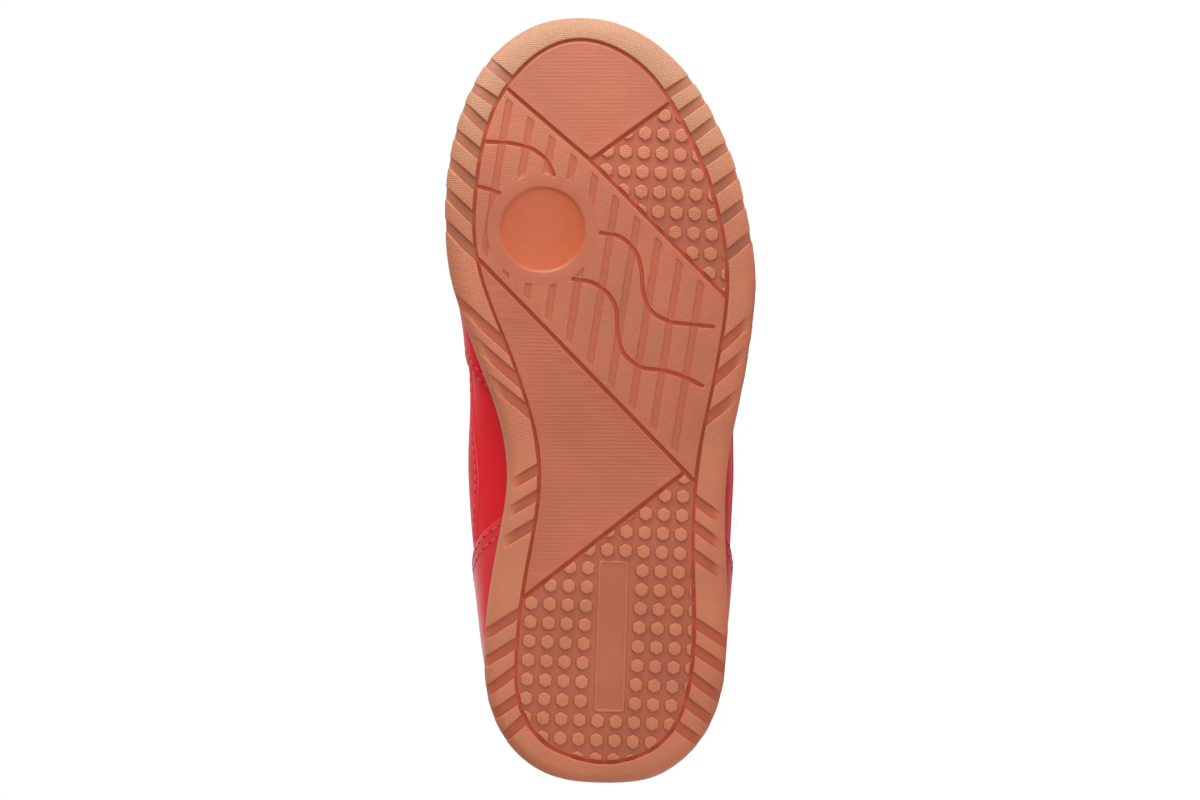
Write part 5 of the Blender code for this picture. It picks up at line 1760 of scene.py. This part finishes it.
def eyelet_tree():
    """Pressed rings set on points: diameter of the hole and width of its ring."""
    tree, given = new_tree("eyelets_on_points", ("Hole", "Ring"))
    spots = result(tree, "GeometryNodeMeshToPoints", None, {"Mesh": given["Geometry"]})
    middle = sums(tree, "MULTIPLY_ADD", given["Hole"], 0.5, given["Ring"])
    path, section = (result(tree, "GeometryNodeCurvePrimitiveCircle", None, {
        "Resolution": count, "Radius": radius}) for count, radius in ((20, middle), (8, given["Ring"])))
    ring = result(tree, "GeometryNodeCurveToMesh", None, {"Curve": path, "Profile Curve": section})
    flat = result(tree, "GeometryNodeTransform", None, {"Geometry": ring, "Scale": (1.0, 1.0, 0.7)})
    return close_tree(tree, given, spots, flat, stored_way(tree, "along"))


def grown(name, mesh, tree, inputs):
    """Plain mesh object from a mesh and a geometry tree with its inputs set."""
    holder = in_scene(name, mesh)
    modifier = holder.modifiers.new("grown", "NODES")
    modifier.node_group = tree
    for item in tree.interface.items_tree:
        if item.item_type == "SOCKET" and item.in_out == "INPUT" and item.name in inputs:
            modifier[item.identifier] = inputs[item.name]
    depsgraph = bpy.context.evaluated_depsgraph_get()
    plain = bpy.data.meshes.new_from_object(holder.evaluated_get(depsgraph))
    holder.modifiers.clear()
    for attribute in [a.name for a in plain.attributes if a.name in ("out", "along")]:
        plain.attributes.remove(plain.attributes[attribute])
    holder.data = plain
    return holder


# ---------------------------------------------------------------- operators

# Stage: half the floor's side in metres, the place on the tread that the camera aims at, light colours
FLOOR_REACH = 4.0
CAMERA_AIM = (112.65, -1.18, 0.0)
WHITE = (1.0, 1.0, 1.0, 1.0)
DAYLIGHT = (0.74, 0.95, 1.0)
# Where the surround turns dark past the heel, and the sizes and places of the two lights
HEEL_WALL = (-0.85, -0.25)
SOFTBOX = ((0.45, 0.45), (0.62, -0.2, 0.22))
STRIP = ((0.9, 0.05), (0.0, -1.0, 0.032))
# Length of a stitch as a share of the pitch, then its height and a hole's sizes by the thread's width
STITCH_SHARE = 0.78
THREAD_FLAT = 0.6
HOLE_SIZE = (1.8, 1.3, 0.2)


class SHOE_OT_outsole(bpy.types.Operator):
    """Mould the gum rubber cup sole with its tread"""

    bl_idname = "shoe.outsole"
    bl_label = "Outsole"

    def execute(self, context):
        points, faces, values = build_outsole(context.scene.shoe_sole)
        piece = make_piece("gum_outsole", points, faces, [gum_rubber()], values, sharp=50.0)
        seated(piece, "gum_rubber", "outsole")
        return {"FINISHED"}


class SHOE_OT_upper(bpy.types.Operator):
    """Last the hollow upper of synthetic leather with its lining"""

    bl_idname = "shoe.upper"
    bl_label = "Upper"

    def execute(self, context):
        upper = context.scene.shoe_upper
        points, faces, parts, values = build_upper()
        leather = coated_leather("gloss_synthetic_leather", upper.leather_colour)
        lining = woven_cloth("knit_lining", upper.lining_colour, 0.9, 0.3)
        parts = np.minimum(parts, 1)
        piece = make_piece("leather_upper", points, faces, [leather, lining], values, parts)
        seated(piece, "red_synthetic_leather", "upper")
        return {"FINISHED"}


class SHOE_OT_overlays(bpy.types.Operator):
    """Lay toe guard, heel counter and eyestay on the upper"""

    bl_idname = "shoe.overlays"
    bl_label = "Overlays"

    def execute(self, context):
        tone = context.scene.shoe_upper.overlay_colour
        plain = coated_leather("overlay_synthetic_leather", tone)
        shiny = coated_leather("glossy_counter_leather", tone, 0.5)
        for piece, columns, leather in (
                (TOE_GUARD, 150, plain), (HEEL_COUNTER, 110, shiny), (EYESTAY, 130, plain)):
            points, faces, _ = build_overlay(piece, columns)
            made = make_piece("leather_" + piece.name, points, faces, [leather])
            seated(made, "red_overlay_leather", piece.name)
        return {"FINISHED"}


class SHOE_OT_inside(bpy.types.Operator):
    """Put in the insole and the padded tongue"""

    bl_idname = "shoe.inside"
    bl_label = "Insole and tongue"

    def execute(self, context):
        upper = context.scene.shoe_upper
        points, faces = build_insole()
        cloth = woven_cloth("insole_top_cloth", upper.lining_colour, 1.1, 0.2)
        insole = make_piece("foam_insole", points, faces, [cloth], sharp=40.0)
        seated(insole, "insole_cloth", "insole")
        points, faces, _ = build_tongue()
        mesh_cloth = woven_cloth("tongue_mesh_cloth", upper.lace_colour, 1.4, 0.3)
        tongue = make_piece("padded_tongue", points, faces, [mesh_cloth])
        seated(tongue, "red_tongue_cloth", "tongue")
        return {"FINISHED"}


class SHOE_OT_lacing(bpy.types.Operator):
    """Thread the flat lace and press the eyelets"""

    bl_idname = "shoe.lacing"
    bl_label = "Lacing"

    def execute(self, context):
        upper = context.scene.shoe_upper
        points, faces = build_lace(upper)
        cord = woven_cloth("flat_woven_lace", upper.lace_colour, 0.8, 0.3)
        seated(make_piece("flat_lace", points, faces, [cord]), "red_lace", "lace")
        turn = turn_of(np.array(EYELET_STATIONS))
        angle = np.concatenate([turn, FULL_TURN - turn])
        up = np.full(len(angle), EYELET_UP)
        out = OVERLAY_OUT - in_mm(upper.panel_step)
        spots, normal = upper_surface(angle, up, out)
        ahead, _ = upper_surface(angle, up + UP_STEP, out)
        mesh = path_mesh("eyelet_spots", list(zip(spots[:, None], normal[:, None])))
        store_ways(mesh, "along", ahead - spots)
        ring = plain_material("pressed_eyelet_enamel", upper.overlay_colour, 0.35)
        piece = grown("eyelet_rings", mesh, eyelet_tree(), {
            "Hole": upper.eyelet_size, "Ring": EYELET_RING, "Material": ring})
        seated(piece, "red_overlay_leather")
        return {"FINISHED"}


class SHOE_OT_stitching(bpy.types.Operator):
    """Sew the seams of the upper with thread and needle holes"""

    bl_idname = "shoe.stitching"
    bl_label = "Stitching"

    def execute(self, context):
        upper = context.scene.shoe_upper
        tree = stitch_tree()
        paths = seam_paths(upper)
        pitch, wide = upper.stitch_pitch, upper.thread_width
        thread = plain_material("polyester_thread", upper.thread_colour, 0.55)
        hole = plain_material("needle_hole_shadow", linear("#75090F"), 0.9)
        stitch = (pitch * STITCH_SHARE, wide, wide * THREAD_FLAT)
        for name, size, shift, material in (
                ("seam_thread", stitch, 0.0, thread),
                ("needle_holes", [wide * share for share in HOLE_SIZE], pitch * 0.5, hole)):
            piece = grown(name, path_mesh(name, paths), tree, {
                "Pitch": pitch, "Length": size[0], "Width": size[1], "Height": size[2],
                "Shift": shift, "Material": material})
            seated(piece, "red_lace")
        return {"FINISHED"}


class SHOE_OT_stage(bpy.types.Operator):
    """Set the pale floor, the soft lights and the camera"""

    bl_idname = "shoe.stage"
    bl_label = "Stage"

    def execute(self, context):
        scene = context.scene
        stage = scene.shoe_stage
        mesh = bpy.data.meshes.new("pale_floor")
        sides = ((-1, -1), (1, -1), (1, 1), (-1, 1))
        corners = [(x * FLOOR_REACH, y * FLOOR_REACH, 0.0) for x, y in sides]
        mesh.from_pydata(corners, [], [(0, 1, 2, 3)])
        # Pale acrylic table lit from below, so that what faces it isn't black
        mesh.materials.append(shaded(
            "lit_white_acrylic", Base_Color=colour(linear("#E6E6E6")), Roughness=0.95,
            Specular_IOR_Level=0.1, Emission_Color=WHITE, Emission_Strength=stage.table_glow))
        floor = in_scene("pale_floor", mesh)

        # White all round, with a darker wall past the heel
        scene.world = bpy.data.worlds.new("white_studio")
        scene.world.use_nodes = True
        sky = scene.world.node_tree
        surround = sky.nodes["Background"].inputs
        surround["Color"].default_value = WHITE
        way = add_node(sky, "ShaderNodeSeparateXYZ", None, {
            0: result(sky, "ShaderNodeTexCoord", output="Generated")})
        wall = ranged(sky, way.outputs["X"], *HEEL_WALL, stage.heel_side_light, 1.0)
        sky.links.new(wall, surround["Strength"])
        scene.view_settings.view_transform = "Standard"

        aim = Vector(on_floor(CAMERA_AIM))
        toward = Vector(way_on_floor((0.0, 0.0, -1.0)))
        up = Vector(way_on_floor((1.0, 0.0, 0.0)))
        camera = bpy.data.cameras.new("camera")
        camera.sensor_width = 36.0
        camera.lens = camera.sensor_width * stage.camera_distance / stage.picture_width
        camera.clip_start = 0.01
        camera.clip_end = 50.0
        scene.camera = in_scene("camera", camera)
        turn = Matrix((up.cross(toward), up, toward)).transposed().to_4x4()
        scene.camera.matrix_world = Matrix.Translation(aim + toward * stage.camera_distance) @ turn

        for name, power, tone, (size, place) in (
                ("daylight_softbox", stage.key_power, DAYLIGHT, SOFTBOX),
                ("low_strip", stage.fill_power, WHITE[:3], STRIP)):
            lamp = bpy.data.lights.new(name, "AREA")
            lamp.energy = power
            lamp.color = tone
            lamp.shape = "RECTANGLE"
            lamp.size, lamp.size_y = size
            holder = in_scene(name, lamp)
            holder.location = place
            holder.rotation_euler = (aim - Vector(place)).to_track_quat("-Z", "Y").to_euler()
        return {"FINISHED"}


class SHOE_PT_panel(bpy.types.Panel):
    """Pieces of the shoe and their values"""

    bl_label = "Court shoe"
    bl_idname = "SHOE_PT_panel"
    bl_space_type = "VIEW_3D"
    bl_region_type = "UI"
    bl_category = "Shoe"

    def draw(self, context):
        for group in GROUPS:
            values = getattr(context.scene, group)
            for key in values.__annotations__:
                self.layout.prop(values, key)
        for operator in OPERATORS:
            self.layout.operator(operator.bl_idname)


GROUPS = {"shoe_sole": SoleSettings, "shoe_upper": UpperSettings, "shoe_stage": StageSettings}
OPERATORS = (SHOE_OT_stage, SHOE_OT_outsole, SHOE_OT_upper, SHOE_OT_overlays, SHOE_OT_inside, SHOE_OT_lacing,
             SHOE_OT_stitching)


def register():
    for name, group in GROUPS.items():
        bpy.utils.register_class(group)
        setattr(bpy.types.Scene, name, PointerProperty(type=group))
    for operator in OPERATORS:
        bpy.utils.register_class(operator)
    bpy.utils.register_class(SHOE_PT_panel)


def unregister():
    bpy.utils.unregister_class(SHOE_PT_panel)
    for operator in reversed(OPERATORS):
        bpy.utils.unregister_class(operator)
    for name, group in GROUPS.items():
        delattr(bpy.types.Scene, name)
        bpy.utils.unregister_class(group)


def main():
    register()
    bpy.ops.shoe.stage()
    bpy.ops.shoe.outsole()
    bpy.ops.shoe.upper()
    bpy.ops.shoe.overlays()
    bpy.ops.shoe.inside()
    bpy.ops.shoe.lacing()
    bpy.ops.shoe.stitching()


if __name__ == "__main__":
    main()
